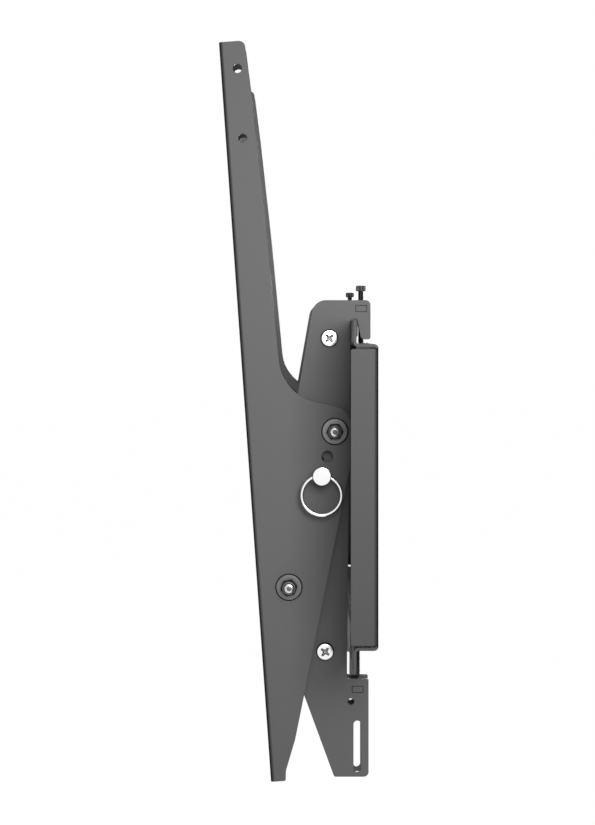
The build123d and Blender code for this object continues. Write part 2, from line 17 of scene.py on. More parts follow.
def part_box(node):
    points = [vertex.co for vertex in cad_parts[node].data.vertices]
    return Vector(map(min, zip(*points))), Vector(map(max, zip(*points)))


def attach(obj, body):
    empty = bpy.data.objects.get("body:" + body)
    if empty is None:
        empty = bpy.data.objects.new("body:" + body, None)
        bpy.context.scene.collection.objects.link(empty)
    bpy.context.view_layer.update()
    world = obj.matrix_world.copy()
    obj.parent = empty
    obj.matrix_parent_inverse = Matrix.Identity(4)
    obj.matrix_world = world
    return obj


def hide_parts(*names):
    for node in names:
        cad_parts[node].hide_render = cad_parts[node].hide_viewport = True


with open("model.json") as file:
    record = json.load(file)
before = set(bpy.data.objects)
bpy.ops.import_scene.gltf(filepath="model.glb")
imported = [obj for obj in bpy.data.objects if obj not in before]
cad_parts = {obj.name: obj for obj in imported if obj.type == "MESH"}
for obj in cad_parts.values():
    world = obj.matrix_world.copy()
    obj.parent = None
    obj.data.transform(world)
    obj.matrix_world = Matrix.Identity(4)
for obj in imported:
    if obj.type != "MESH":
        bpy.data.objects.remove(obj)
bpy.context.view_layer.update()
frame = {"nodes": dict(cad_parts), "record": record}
MM = 0.001
UNITS = {"near": -0.2, "far": 0.2}  # the middle of each arm unit along the rail

# %% [markdown]
# ## The camera
#
# The picture looks along the rail, level, from about 1.9 m. Its vanishing point is not in the middle of
# the frame, as when a picture is cropped, and a small lens shift does the same thing here. Turning the
# camera instead would make the upright rail lean.

# %% Camera
SCALE_NEAR = 0.88 * MM  # metres a pixel at the near arm's side
WALL_PX = 375.0  # the picture's column of X = 0
LEVEL_PY = 489.8  # the picture's row of Z = 0
EYE_PX = 298.0  # the vanishing point
EYE_PY = 326.0
IMAGE_WIDTH = 595.0
IMAGE_HEIGHT = 825.0
FOCAL_PX = 2128.0
SENSOR = 36.0
NEAR_SIDE_Y = -0.221


def place_camera():
    data = bpy.data.cameras.new("camera")
    data.sensor_width = SENSOR
    data.lens = FOCAL_PX / IMAGE_HEIGHT * SENSOR
    data.shift_x = (IMAGE_WIDTH / 2 - EYE_PX) / IMAGE_HEIGHT
    data.shift_y = (EYE_PY - IMAGE_HEIGHT / 2) / IMAGE_HEIGHT
    camera = bpy.data.objects.new("camera", data)
    x = (EYE_PX - WALL_PX) * SCALE_NEAR
    z = (LEVEL_PY - EYE_PY) * SCALE_NEAR
    camera.location = (x, NEAR_SIDE_Y - FOCAL_PX * SCALE_NEAR, z)
    camera.rotation_euler = (math.pi / 2, 0, 0)
    bpy.context.collection.objects.link(camera)
    bpy.context.scene.camera = camera
    return camera


camera = place_camera()
print("camera at", [round(v, 4) for v in camera.location], "lens", round(camera.data.lens, 1))

# %% [markdown]
# ## Light and ground
#
# In the picture the flat faces are evenly lit, the rail's end throws a soft shade beside itself, and the
# bright metal parts have thin dark rims. The rail's shade is left to the light, and the metal rims are in
# part, but the finishes also carry painted shade in folds, along edges, in hollows and on the metal rims.
# What the camera and mirrors see is a white studio, and Light Path keeps that apart from the light that
# falls on the object.

# %% Node helpers


def new_material(name):
    """A material with nothing in it but its output."""
    material = bpy.data.materials.new(name)
    material.use_nodes = True
    nodes = material.node_tree.nodes
    nodes.clear()
    output = nodes.new("ShaderNodeOutputMaterial")
    return material, nodes, material.node_tree.links, output


def math_node(nodes, links, operation, first, second=None, clamp=False):
    """The output of a Math node that is fed by sockets or by plain numbers."""
    node = nodes.new("ShaderNodeMath")
    node.operation = operation
    node.use_clamp = clamp
    for slot, value in enumerate((first, second)):
        if value is None:
            continue
        if isinstance(value, (int, float)):
            node.inputs[slot].default_value = value
        else:
            links.new(value, node.inputs[slot])
    return node.outputs[0]


def seen_rays(nodes, links):
    """One where a camera, a mirror or glass looks; nought for the light on the object."""
    path = nodes.new("ShaderNodeLightPath")
    by_camera, by_mirror = path.outputs["Is Camera Ray"], path.outputs["Is Glossy Ray"]
    seen = math_node(nodes, links, "MAXIMUM", by_camera, by_mirror)
    return math_node(nodes, links, "MAXIMUM", seen, path.outputs["Is Transmission Ray"])


print("node helpers ready")

# %% [markdown]
# ## The world's fill
#
# A world that is equally bright all round would flatten the folds. This one is weaker from the two sides
# where a real mount has its screen and its wall.

# %% World
FILL_SIDE = 0.10
FILL_FRONT = 0.42


def light_world():
    """White where it is looked at, and a fill that is weaker from two sides on the object."""
    world = bpy.data.worlds.new("studio")
    world.use_nodes = True
    nodes = world.node_tree.nodes
    links = world.node_tree.links
    background = nodes["Background"]
    background.inputs["Color"].default_value = (1, 1, 1, 1)
    place = nodes.new("ShaderNodeTexCoord")
    split = nodes.new("ShaderNodeSeparateXYZ")
    links.new(place.outputs["Generated"], split.inputs[0])
    sideways = math_node(nodes, links, "ABSOLUTE", split.outputs["X"])
    fill = nodes.new("ShaderNodeMapRange")
    fill.inputs["To Min"].default_value = FILL_FRONT
    fill.inputs["To Max"].default_value = FILL_SIDE
    links.new(sideways, fill.inputs["Value"])
    strength = math_node(nodes, links, "MAXIMUM", fill.outputs["Result"], seen_rays(nodes, links))
    links.new(strength, background.inputs["Strength"])
    bpy.context.scene.world = world


light_world()
print("fill", FILL_FRONT, "along the rail and from above,", FILL_SIDE, "from the two sides")

# %% [markdown]
# ## The floor
#
# A pale floor lies well below the object. A glow makes it as white as the background, but only where it
# is looked at, so that what it throws back up stays soft.

# %% Floor
FLOOR_Z = -0.95
FLOOR_REACH = 30.0
FLOOR_PAINT = (0.82, 0.82, 0.82, 1)
FLOOR_GLOW = 1.12
FLOOR_GLOW_SHARE = 0.86


def stage_panel(name, corners, material):
    mesh = bpy.data.meshes.new(name)
    mesh.from_pydata(corners, [], [(0, 1, 2, 3)])
    mesh.materials.append(material)
    panel = bpy.data.objects.new(name, mesh)
    bpy.context.collection.objects.link(panel)
    return panel


def lay_floor():
    material, nodes, links, output = new_material("floor_white")
    paint = nodes.new("ShaderNodeBsdfDiffuse")
    paint.inputs["Color"].default_value = FLOOR_PAINT
    glow = nodes.new("ShaderNodeEmission")
    glow.inputs["Strength"].default_value = FLOOR_GLOW
    mix = nodes.new("ShaderNodeMixShader")
    glowing = math_node(nodes, links, "MULTIPLY", seen_rays(nodes, links), FLOOR_GLOW_SHARE)
    links.new(glowing, mix.inputs["Fac"])
    links.new(paint.outputs[0], mix.inputs[1])
    links.new(glow.outputs[0], mix.inputs[2])
    links.new(mix.outputs[0], output.inputs["Surface"])
    square = ((-1, -1), (1, -1), (1, 1), (-1, 1))
    stage_panel("floor", [(x * FLOOR_REACH, y * FLOOR_REACH, FLOOR_Z) for x, y in square], material)


lay_floor()
print("floor at", FLOOR_Z)

# %% [markdown]
# ## Black frames
#
# Polished metal shows its form by what it mirrors. As in a product studio, black frames stand across the
# view, one before the object, one in its middle and one behind it. Only mirrors see them, and only where
# a surface turns well away, so each bright part gets a thin dark rim.

# %% Black frames
FLAG_REACH = 2.5
FLAG_DEPTHS = (-0.30, 0.0, 0.30)
FLAG_HOLE_X = (-0.30, 0.16)
FLAG_HOLE_Z = (-0.40, 0.56)
FELT = (0.01, 0.01, 0.01, 1)


def raise_flags():
    """Black frames across the view, each of four strips round an open middle."""
    material, nodes, links, output = new_material("flag_black")
    felt = nodes.new("ShaderNodeBsdfDiffuse")
    felt.inputs["Color"].default_value = FELT
    links.new(felt.outputs[0], output.inputs["Surface"])
    left, right = FLAG_HOLE_X
    low, high = FLAG_HOLE_Z
    strips = {
        "left": (-FLAG_REACH, left, -FLAG_REACH, FLAG_REACH),
        "right": (right, FLAG_REACH, -FLAG_REACH, FLAG_REACH),
        "low": (left, right, -FLAG_REACH, low),
        "high": (left, right, high, FLAG_REACH),
    }
    for row, y in enumerate(FLAG_DEPTHS):
        for side, (x0, x1, z0, z1) in strips.items():
            corners = [(x0, y, z0), (x1, y, z0), (x1, y, z1), (x0, y, z1)]
            flag = stage_panel(f"flag_{side}_{row}", corners, material)
            flag.visible_camera = False
            flag.visible_diffuse = False
            flag.visible_shadow = False
            flag.visible_transmission = False


raise_flags()
print("black frames at y =", FLAG_DEPTHS)

# %% [markdown]
# ## Lamps
#
# One soft lamp hangs near the object in front, a little above it and on the wall's side, and a second one
# lights the back. One more on either side hangs level with the middle, so that it doesn't touch the faces
# that the picture shows, and mirrors don't see these two.

# %% Lamps
LAMPS = {
    "front_lamp": ((0.16, -1.00, 0.31), (-0.05, -0.2, 0.10), (0.46, 0.46), 6.6, True),
    "rear_lamp": ((0.16, 1.00, 0.31), (-0.05, 0.2, 0.10), (0.46, 0.46), 6.6, True),
    "screen_side_lamp": ((-1.2, 0.0, 0.25), (-0.10, 0.0, 0.10), (0.36, 0.5), 7.6, False),
    "wall_side_lamp": ((1.1, 0.0, 0.25), (0.0, 0.0, 0.05), (0.36, 0.5), 7.6, False),
}


def add_lamp(name, place, target, size, power, mirrored):
    """A soft lamp in metres and watts; mirrored says whether mirrors see it."""
    data = bpy.data.lights.new(name, "AREA")
    data.shape = "RECTANGLE"
    data.size = size[0]
    data.size_y = size[1]
    data.energy = power
    lamp = bpy.data.objects.new(name, data)
    lamp.location = place
    aim = Vector(target) - Vector(place)
    lamp.rotation_euler = aim.to_track_quat("-Z", "Y").to_euler()
    lamp.visible_camera = False
    lamp.visible_glossy = mirrored
    bpy.context.collection.objects.link(lamp)


for lamp_name, (place, target, size, power, mirrored) in LAMPS.items():
    add_lamp(lamp_name, place, target, size, power, mirrored)
bpy.context.scene.view_settings.view_transform = "Standard"
print("lamps", list(LAMPS))

# %% [markdown]
# ## Shader groups that several finishes share
#
# Orange peel, the painted shade of edges, folds and hollows, and lathe rings each come in more than one
# finish. Each is a node group: it is built once, with named inputs, and each finish sets its own values.
# A group puts out only masks and heights, and the shaders stay in the finishes.

# %% Group helper


def new_group(name, inputs, outputs):
    group = bpy.data.node_groups.new(name, "ShaderNodeTree")
    for socket, value in inputs.items():
        made = group.interface.new_socket(socket, in_out="INPUT", socket_type="NodeSocketFloat")
        made.default_value = value
    for socket in outputs:
        group.interface.new_socket(socket, in_out="OUTPUT", socket_type="NodeSocketFloat")
    into = group.nodes.new("NodeGroupInput")
    out = group.nodes.new("NodeGroupOutput")
    return group, into, out


print("group helper ready")

# %% [markdown]
# ## Orange peel
#
# Baked powder coat has a fine orange peel, its grey drifts a little from place to place, and single
# grains show as specks. Three noises of very different sizes give all of it, with no picture to unwrap.

# %% Orange peel group
PEEL_INPUTS = {"Peel size": 900.0, "Mottle size": 14.0, "Speck size": 2600.0}
PEEL_NOISES = {
    "Height": ("Peel size", 2.0),
    "Mottle": ("Mottle size", 3.0),
    "Speck": ("Speck size", 1.0),
}


def build_peel_group():
    """Three noises on the object's own place: the bump, the drift and the specks."""
    group, into, out = new_group("orange_peel", PEEL_INPUTS, tuple(PEEL_NOISES))
    nodes = group.nodes
    links = group.links
    place = nodes.new("ShaderNodeTexCoord")
    for output, (socket, detail) in PEEL_NOISES.items():
        noise = nodes.new("ShaderNodeTexNoise")
        noise.inputs["Detail"].default_value = detail
        links.new(place.outputs["Object"], noise.inputs["Vector"])
        links.new(into.outputs[socket], noise.inputs["Scale"])
        links.new(noise.outputs["Fac"], out.inputs[output])
    return group


peel_group = build_peel_group()
print(peel_group.name, list(PEEL_INPUTS))

# %% [markdown]
# ## Painted shade on sharp edges
#
# Every sharp edge gets a painted dark line, which stands in for the shade along an edge. The group
# compares the true normal with the rounded one from a Bevel node: they differ only near an edge, and no
# bevel has to be modelled.

# %% Edge shade group
BEVEL_SAMPLES = 8


def build_edge_shade_group():
    """Painted shade: one on a sharp edge, and nought a radius away from it."""
    group, into, out = new_group("sharp_edges", {"Radius": 0.001, "Gain": 2.6}, ("Mask",))
    nodes = group.nodes
    links = group.links
    rounded = nodes.new("ShaderNodeBevel")
    rounded.samples = BEVEL_SAMPLES
    links.new(into.outputs["Radius"], rounded.inputs["Radius"])
    true = nodes.new("ShaderNodeNewGeometry")
    dot = nodes.new("ShaderNodeVectorMath")
    dot.operation = "DOT_PRODUCT"
    links.new(rounded.outputs["Normal"], dot.inputs[0])
    links.new(true.outputs["Normal"], dot.inputs[1])
    bend = math_node(nodes, links, "SUBTRACT", 1.0, dot.outputs["Value"], clamp=True)
    gained = math_node(nodes, links, "MULTIPLY", bend, into.outputs["Gain"], clamp=True)
    links.new(gained, out.inputs["Mask"])
    return group


edge_shade_group = build_edge_shade_group()
print(edge_shade_group.name, "with", BEVEL_SAMPLES, "samples")

# %% [markdown]
# ## Painted shade in the folds of the sheet
#
# The round of a fold gets painted shade, and it is glossier than the flats beside it. All flats of this
# object face plain directions, so the group reads how far the surface has turned away from them: only in
# a fold the normal lies between two. One input is for upright folds between a side and the front, and one
# is for folds that are seen from the end.

# %% Fold shade group
FOLD_ONSET = 8.0


def build_fold_shade_group():
    """Painted shade: one in the middle of a fold, and nought on the flats that it joins."""
    group, into, out = new_group("sheet_folds", {"Side folds": 1.0, "Front folds": 0.0}, ("Mask",))
    nodes = group.nodes
    links = group.links
    surface = nodes.new("ShaderNodeNewGeometry")
    split = nodes.new("ShaderNodeSeparateXYZ")
    links.new(surface.outputs["Normal"], split.inputs[0])
    squares = []
    for axis in "XZ":
        squares.append(math_node(nodes, links, "MULTIPLY", split.outputs[axis], split.outputs[axis]))
    turned = math_node(nodes, links, "ADD", *squares)
    lean = math_node(nodes, links, "MULTIPLY", math_node(nodes, links, "SQRT", turned), 2.0)
    side = math_node(nodes, links, "SUBTRACT", lean, turned, clamp=True)
    sideways = math_node(nodes, links, "ABSOLUTE", split.outputs["Y"])
    onset = math_node(nodes, links, "MULTIPLY", sideways, FOLD_ONSET, clamp=True)
    fold_shade = math_node(nodes, links, "MULTIPLY", side, onset)
    product = math_node(nodes, links, "MULTIPLY", split.outputs["X"], split.outputs["Z"])
    front = math_node(nodes, links, "MULTIPLY", math_node(nodes, links, "ABSOLUTE", product), 2.0)
    folds = [math_node(nodes, links, "MULTIPLY", mask, into.outputs[socket])
             for mask, socket in ((fold_shade, "Side folds"), (front, "Front folds"))]
    links.new(math_node(nodes, links, "ADD", folds[0], folds[1], clamp=True), out.inputs["Mask"])
    return group


fold_shade_group = build_fold_shade_group()
print(fold_shade_group.name, "is full where the normal leans sideways by", 1 / FOLD_ONSET)

# %% [markdown]
# ## Painted shade in hollows
#
# Closed-in places and the inside of a channel get painted shade. One group asks Ambient Occlusion how
# closed in a place is. The arms would also get dark outer faces from it, beside the rail, so they have a
# group of their own that knows the two sides of their channel by place.

# %% Hollow shade groups
OCCLUSION_SAMPLES = 6
FRONT_NORMAL = -0.5


def build_recess_shade_group():
    """Painted shade: one where a place is closed in, and nought on open faces."""
    inputs = {"Reach": 0.12, "Open": 0.41, "Deep": 0.27}
    group, into, out = new_group("deep_recess", inputs, ("Mask",))
    nodes = group.nodes
    links = group.links
    room = nodes.new("ShaderNodeAmbientOcclusion")
    room.samples = OCCLUSION_SAMPLES
    links.new(into.outputs["Reach"], room.inputs["Distance"])
    depth = nodes.new("ShaderNodeMapRange")
    links.new(room.outputs["AO"], depth.inputs["Value"])
    links.new(into.outputs["Open"], depth.inputs["From Min"])
    links.new(into.outputs["Deep"], depth.inputs["From Max"])
    links.new(depth.outputs["Result"], out.inputs["Mask"])
    return group


def build_channel_shade_group():
    """Painted shade: one on the inner faces of an arm's folded channel, and nought on its outer faces."""
    inputs = {"Middle": UNITS["far"], "Half width": 0.0187}
    group, into, out = new_group("channel_inside", inputs, ("Mask",))
    nodes = group.nodes
    links = group.links
    place = nodes.new("ShaderNodeTexCoord")
    split = nodes.new("ShaderNodeSeparateXYZ")
    links.new(place.outputs["Object"], split.inputs[0])
    along = math_node(nodes, links, "ABSOLUTE", split.outputs["Y"])
    from_middle = math_node(nodes, links, "SUBTRACT", along, into.outputs["Middle"])
    aside = math_node(nodes, links, "ABSOLUTE", from_middle)
    between = math_node(nodes, links, "LESS_THAN", aside, into.outputs["Half width"])
    surface = nodes.new("ShaderNodeNewGeometry")
    facing = nodes.new("ShaderNodeSeparateXYZ")
    links.new(surface.outputs["Normal"], facing.inputs[0])
    inner = math_node(nodes, links, "GREATER_THAN", facing.outputs["X"], FRONT_NORMAL)
    links.new(math_node(nodes, links, "MULTIPLY", between, inner), out.inputs["Mask"])
    return group


recess_shade_group = build_recess_shade_group()
channel_shade_group = build_channel_shade_group()
print(recess_shade_group.name, channel_shade_group.name)

# %% [markdown]
# ## Lathe rings
#
# Turned parts keep fine rings from the tool. Rings need an axis, and these parts lie along the rail, each
# round its own one. So each mesh carries its places about its own axis as an attribute, and one group
# serves them all.

# %% Lathe group
TURNED = "turned"
RING_DETAIL = 2.0
STREAK_GAIN = 2.0


def build_lathe_group():
    """Rings by the distance from the axis and the place along it, in streaks that break up."""
    inputs = {"Ring size": 2200.0, "Break up": 90.0}
    group, into, out = new_group("lathe_rings", inputs, ("Height", "Streak"))
    nodes = group.nodes
    links = group.links
    place = nodes.new("ShaderNodeAttribute")
    place.attribute_name = TURNED
    split = nodes.new("ShaderNodeSeparateXYZ")
    links.new(place.outputs["Vector"], split.inputs[0])
    across = math_node(nodes, links, "MULTIPLY", split.outputs["X"], split.outputs["X"])
    along = math_node(nodes, links, "MULTIPLY", split.outputs["Y"], split.outputs["Y"])
    radius = math_node(nodes, links, "SQRT", math_node(nodes, links, "ADD", across, along))
    reach = math_node(nodes, links, "ADD", radius, split.outputs["Z"])
    rings = nodes.new("ShaderNodeTexNoise")
    rings.noise_dimensions = "1D"
    rings.inputs["Detail"].default_value = RING_DETAIL
    rings.inputs["Scale"].default_value = 1.0
    scaled = math_node(nodes, links, "MULTIPLY", reach, into.outputs["Ring size"])
    links.new(scaled, rings.inputs["W"])
    patches = nodes.new("ShaderNodeTexNoise")
    patches.inputs["Detail"].default_value = RING_DETAIL
    links.new(place.outputs["Vector"], patches.inputs["Vector"])
    links.new(into.outputs["Break up"], patches.inputs["Scale"])
    links.new(rings.outputs["Fac"], out.inputs["Height"])
    streak = math_node(nodes, links, "MULTIPLY", rings.outputs["Fac"], patches.outputs["Fac"])
    gained = math_node(nodes, links, "MULTIPLY", streak, STREAK_GAIN, clamp=True)
    links.new(gained, out.inputs["Streak"])
    return group


lathe_group = build_lathe_group()
print(lathe_group.name, "reads the attribute", TURNED)

# %% [markdown]
# ## Mixing helpers
#
# Each finish is one Principled shader whose colour is mixed from a few greys by the groups' masks. The
# helpers put a group into a material, mix two colours and add a small bump.

# %% Mixing helpers


def use_group(nodes, group, **values):
    node = nodes.new("ShaderNodeGroup")
    node.node_tree = group
    for socket, value in values.items():
        node.inputs[socket.replace("_", " ")].default_value = value
    return node


def mix_colour(nodes, links, factor, first, second):
    node = nodes.new("ShaderNodeMix")
    node.data_type = "RGBA"
    pairs = ((node.inputs["Factor"], factor), (node.inputs[6], first), (node.inputs[7], second))
    for socket, value in pairs:
        if isinstance(value, (tuple, float)):
            socket.default_value = value
        else:
            links.new(value, socket)
    return node.outputs[2]


def grey(value, blue=0.0):
    return (value, value, value + blue, 1.0)


def add_bump(nodes, links, shader, height, strength, distance):
    bump = nodes.new("ShaderNodeBump")
    bump.inputs["Strength"].default_value = strength
    bump.inputs["Distance"].default_value = distance
    links.new(height, bump.inputs["Height"])
    links.new(bump.outputs["Normal"], shader.inputs["Normal"])


print("mixing helpers ready")

# %% [markdown]
# ## The powder coat
#
# Satin charcoal powder coat is a mid-grey pigment under a soft, even gloss. A clear layer on top would
# make it wet, so one Principled shader with a low specular level is enough. Folds, sharp cut edges and
# hollows get painted shade, a mix towards a near black.

# %% Powder coat
SPECK_SHARE = 0.30
EDGE_SHADE_SHARE = 0.6
SHEEN_DRIFT = 0.12
FOLD_POLISH = 0.22
PEEL_STRENGTH = 0.12
PEEL_DEPTH = 0.0003


def coat_material(name, colours, roughness, specular, edge_radius, folds,
                  shade_source=recess_shade_group, recess_shade_strength=0.92):
    """A coat whose colours are its dark drift, its light drift, its specks and the near black of its
    painted shade.

    shade_source is the group that finds where painted shade falls in hollows, and recess_shade_strength
    says how dark it is there."""
    drift, colour, speck, shade_grey = colours
    # Depth is how far the painted shade in the folds goes towards the near black.
    side_folds, front_folds, depth = folds
    material, nodes, links, output = new_material(name)
    shader = nodes.new("ShaderNodeBsdfPrincipled")
    links.new(shader.outputs[0], output.inputs["Surface"])
    peel = use_group(nodes, peel_group)
    edge = use_group(nodes, edge_shade_group, Radius=edge_radius)
    fold = use_group(nodes, fold_shade_group, Side_folds=side_folds, Front_folds=front_folds)
    base = mix_colour(nodes, links, peel.outputs["Mottle"], drift, colour)
    grain = math_node(nodes, links, "MULTIPLY", peel.outputs["Speck"], SPECK_SHARE)
    specked = mix_colour(nodes, links, grain, base, speck)
    recess = use_group(nodes, shade_source)
    # Painted shade: folds, sharp edges and hollows mix towards the near black.
    fold_shade = math_node(nodes, links, "MULTIPLY", fold.outputs["Mask"], depth)
    edge_shade = math_node(nodes, links, "MULTIPLY", edge.outputs["Mask"], EDGE_SHADE_SHARE)
    edge_and_fold_shade = math_node(nodes, links, "MAXIMUM", edge_shade, fold_shade)
    recess_shade = math_node(nodes, links, "MULTIPLY", recess.outputs["Mask"], recess_shade_strength)
    painted_shade = math_node(nodes, links, "MAXIMUM", edge_and_fold_shade, recess_shade)
    links.new(mix_colour(nodes, links, painted_shade, specked, shade_grey), shader.inputs["Base Color"])
    sheen = math_node(nodes, links, "MULTIPLY", peel.outputs["Mottle"], SHEEN_DRIFT)
    satin = math_node(nodes, links, "ADD", sheen, roughness - SHEEN_DRIFT / 2)
    polished = math_node(nodes, links, "MULTIPLY", fold_shade, FOLD_POLISH)
    rough = math_node(nodes, links, "SUBTRACT", satin, polished, clamp=True)
    links.new(rough, shader.inputs["Roughness"])
    shader.inputs["Specular IOR Level"].default_value = specular
    add_bump(nodes, links, shader, peel.outputs["Height"], PEEL_STRENGTH, PEEL_DEPTH)
    return material


print("coat recipe ready")

# %% [markdown]
# ## The coats of this mount
#
# The rail's coat is a darker copy of the same charcoal, which paints the shade that the rail stands in.
# The cheeks stand open on both sides and get no painted shade in hollows, and the arms get painted shade
# only inside their channel. The adjusting screws have no powder on them: they are blackened in a hot
# bath, which leaves a darker and glossier skin.

# %% Charcoal coats
# The fourth grey of each coat is the near black of its painted shade.
CHARCOAL = (grey(0.110), grey(0.130), grey(0.22), grey(0.004))
# The rail's greys are a darker copy of the charcoal: painted shade.
RAIL_SHADED_CHARCOAL = (grey(0.072), grey(0.086), grey(0.16), grey(0.003))
OXIDE = (grey(0.014), grey(0.022), grey(0.07), grey(0.010))
SATIN = (0.50, 0.16, 0.0009)
ARM_FOLD_SHADE = (1.0, 0.0, 0.97)
RAIL_FOLD_SHADE = (1.0, 0.7, 0.97)
SCREW_FOLD_SHADE = (0.0, 0.0, 0.40)
charcoal = coat_material("charcoal_coat", CHARCOAL, *SATIN, ARM_FOLD_SHADE)
charcoal_cheek = coat_material("charcoal_cheek", CHARCOAL, *SATIN, ARM_FOLD_SHADE, recess_shade_strength=0.0)
# The arms' coat paints shade on the inner faces of their channel.
charcoal_arm = coat_material(
    "charcoal_arm", CHARCOAL, *SATIN, ARM_FOLD_SHADE, shade_source=channel_shade_group, recess_shade_strength=0.72)
charcoal_rail = coat_material("charcoal_rail", RAIL_SHADED_CHARCOAL, *SATIN, RAIL_FOLD_SHADE)
black_oxide = coat_material("black_oxide", OXIDE, 0.34, 0.50, 0.0004, SCREW_FOLD_SHADE)
coats = (charcoal, charcoal_cheek, charcoal_arm, charcoal_rail, black_oxide)
print("coats", [coat.name for coat in coats])

# %% [markdown]
# ## Plated metals
#
# Zinc and nickel plate are metals, so they take their look from what they reflect. Each gets a fine
# scatter in its roughness, lathe rings as streaks and as a small bump, and patches of a second grey where
# the plate is thinner. Recesses and steep flanks carry a mark in an attribute, which gives them painted
# shade and a higher roughness.

# %% Plated metals
SHADE_MARK = "pocket"
SHADE_MARK_ROUGHNESS = 0.3
RING_DEPTH = 0.00004


def plated_material(name, colours, roughness, spread, ring_strength, metallic=1.0):
    """A plate whose colours are its bright grey, its dull grey and the grey of the painted shade on
    recesses and flanks.
    """
    bright, dull, painted_shade_colour = colours
    material, nodes, links, output = new_material(name)
    shader = nodes.new("ShaderNodeBsdfPrincipled")
    links.new(shader.outputs[0], output.inputs["Surface"])
    shader.inputs["Metallic"].default_value = metallic
    peel = use_group(nodes, peel_group, Peel_size=2400.0, Mottle_size=230.0, Speck_size=5200.0)
    rings = use_group(nodes, lathe_group)
    base = mix_colour(nodes, links, peel.outputs["Mottle"], dull, bright)
    streaked = mix_colour(nodes, links, rings.outputs["Streak"], base, bright)
    # The shade mark gives recesses and flanks painted shade and a higher roughness.
    pocket = nodes.new("ShaderNodeAttribute")
    pocket.attribute_name = SHADE_MARK
    with_painted_shade = mix_colour(nodes, links, pocket.outputs["Fac"], streaked, painted_shade_colour)
    links.new(with_painted_shade, shader.inputs["Base Color"])
    scatter = math_node(nodes, links, "MULTIPLY", peel.outputs["Speck"], spread)
    rough = math_node(nodes, links, "ADD", scatter, roughness)
    roughened = math_node(nodes, links, "MULTIPLY", pocket.outputs["Fac"], SHADE_MARK_ROUGHNESS)
    links.new(math_node(nodes, links, "ADD", rough, roughened), shader.inputs["Roughness"])
    add_bump(nodes, links, shader, rings.outputs["Height"], ring_strength, RING_DEPTH)
    return material


print("plate recipe ready")

# %% [markdown]
# ## The plates of this mount
#
# The cross-head screws are bright zinc, and the washers a dull grey one. The nuts' plate is darker still,
# and the bolts' threads are a lighter zinc. Pins and rings are polished before they are nickel plated, so
# they have hardly any roughness.

# %% Zinc and nickel
# The third grey of each plate is the grey of its painted shade.
BRIGHT_ZINC = (grey(0.92, 0.01), grey(0.80, 0.01), grey(0.02))
GREY_ZINC = (grey(0.155, 0.003), grey(0.085), grey(0.020))
DARK_ZINC = (grey(0.15), grey(0.08), grey(0.005))
THREAD_ZINC = (grey(0.80, 0.004), grey(0.40), grey(0.15))
BRIGHT_NICKEL = (grey(0.96, -0.01), grey(0.90), grey(0.10))
bright_zinc = plated_material("bright_zinc", BRIGHT_ZINC, 0.18, 0.12, 0.12)
grey_zinc = plated_material("grey_zinc", GREY_ZINC, 0.36, 0.16, 0.40, 0.75)
dark_zinc = plated_material("dark_zinc", DARK_ZINC, 0.34, 0.20, 0.30, 0.6)
thread_zinc = plated_material("thread_zinc", THREAD_ZINC, 0.26, 0.20, 0.30, 0.9)
bright_nickel = plated_material("bright_nickel", BRIGHT_NICKEL, 0.07, 0.05, 0.06)
plates = (bright_zinc, grey_zinc, dark_zinc, thread_zinc, bright_nickel)
print("plates", [plate.name for plate in plates])

# %% [markdown]
# ## Finishes on the solids
#
# The record names a finish for each solid. The solids keep their meshes as they came, and only get their
# material.

# %% Finishes
FINISHES = {
    "charcoal_coat": charcoal,
    "bright_zinc": bright_zinc,
    "grey_zinc": grey_zinc,
    "black_oxide": black_oxide,
    "bright_nickel": bright_nickel,
}
slots = {entry["node"]: entry["material_slot"] for entry in frame["record"]["subparts"]}
for name, node in frame["nodes"].items():
    finish = FINISHES[slots[name]]
    # The rail gets its darker copy of the charcoal, which is painted shade, and the arms the one with
    # painted shade inside their channel.
    if name == "wall_rail":
        finish = charcoal_rail
    elif name.endswith("cheek"):
        finish = charcoal_cheek
    elif name.endswith("arm"):
        finish = charcoal_arm
    node.data.materials.clear()
    node.data.materials.append(finish)
print("finished", len(slots), "nodes")

# %% [markdown]
# ## Turned shapes
#
# Washers, screw heads, pins and rings are all turned on a lathe: a flat profile swept round an axis. A
# Screw modifier could sweep it, but here a helper joins rings of points itself, so that a hexagon or a
# thread comes out of the same helper. Sizes are in millimetres, as on a drawing, and become metres when
# the mesh is made.

# %% Profiles
STEPS = 72


def soften(corners, arc_points=4):
    """Profile points from (radius, height, rounding) corners."""
    points = []
    count = len(corners)
    for index, (x, y, rounding) in enumerate(corners):
        if rounding == 0:
            points.append((x, y))
            continue
        here = Vector((x, y))
        before = Vector(corners[index - 1][:2]) - here
        after = Vector(corners[(index + 1) % count][:2]) - here
        half = before.angle(after) / 2
        reach = rounding / math.tan(half)
        bisector = (before.normalized() + after.normalized()).normalized()
        centre = here + bisector * (rounding / math.sin(half))
        start = here + before.normalized() * reach - centre
        end = here + after.normalized() * reach - centre
        sweep = start.angle_signed(end)
        for step in range(arc_points + 1):
            spoke = start.copy()
            spoke.rotate(Matrix.Rotation(-sweep * step / arc_points, 2))
            points.append(tuple(centre + spoke))
    return points


def mesh_from(shape, name):
    """Welds a shape that is drawn in millimetres, and makes a mesh in metres of it."""
    bmesh.ops.remove_doubles(shape, verts=shape.verts, dist=1e-5)
    bmesh.ops.recalc_face_normals(shape, faces=shape.faces)
    mesh = bpy.data.meshes.new(name)
    bmesh.ops.scale(shape, vec=(MM, MM, MM), verts=shape.verts)
    shape.to_mesh(mesh)
    shape.free()
    return mesh


print("a full turn has", STEPS, "steps")

# %% [markdown]
# ## Rings of points
#
# A turned shape is a stack of rings of points, one for each point of its profile, with faces between each
# ring and the next. A ring's radius may be a function of the angle, and then the shape isn't round.

# %% Rings of points


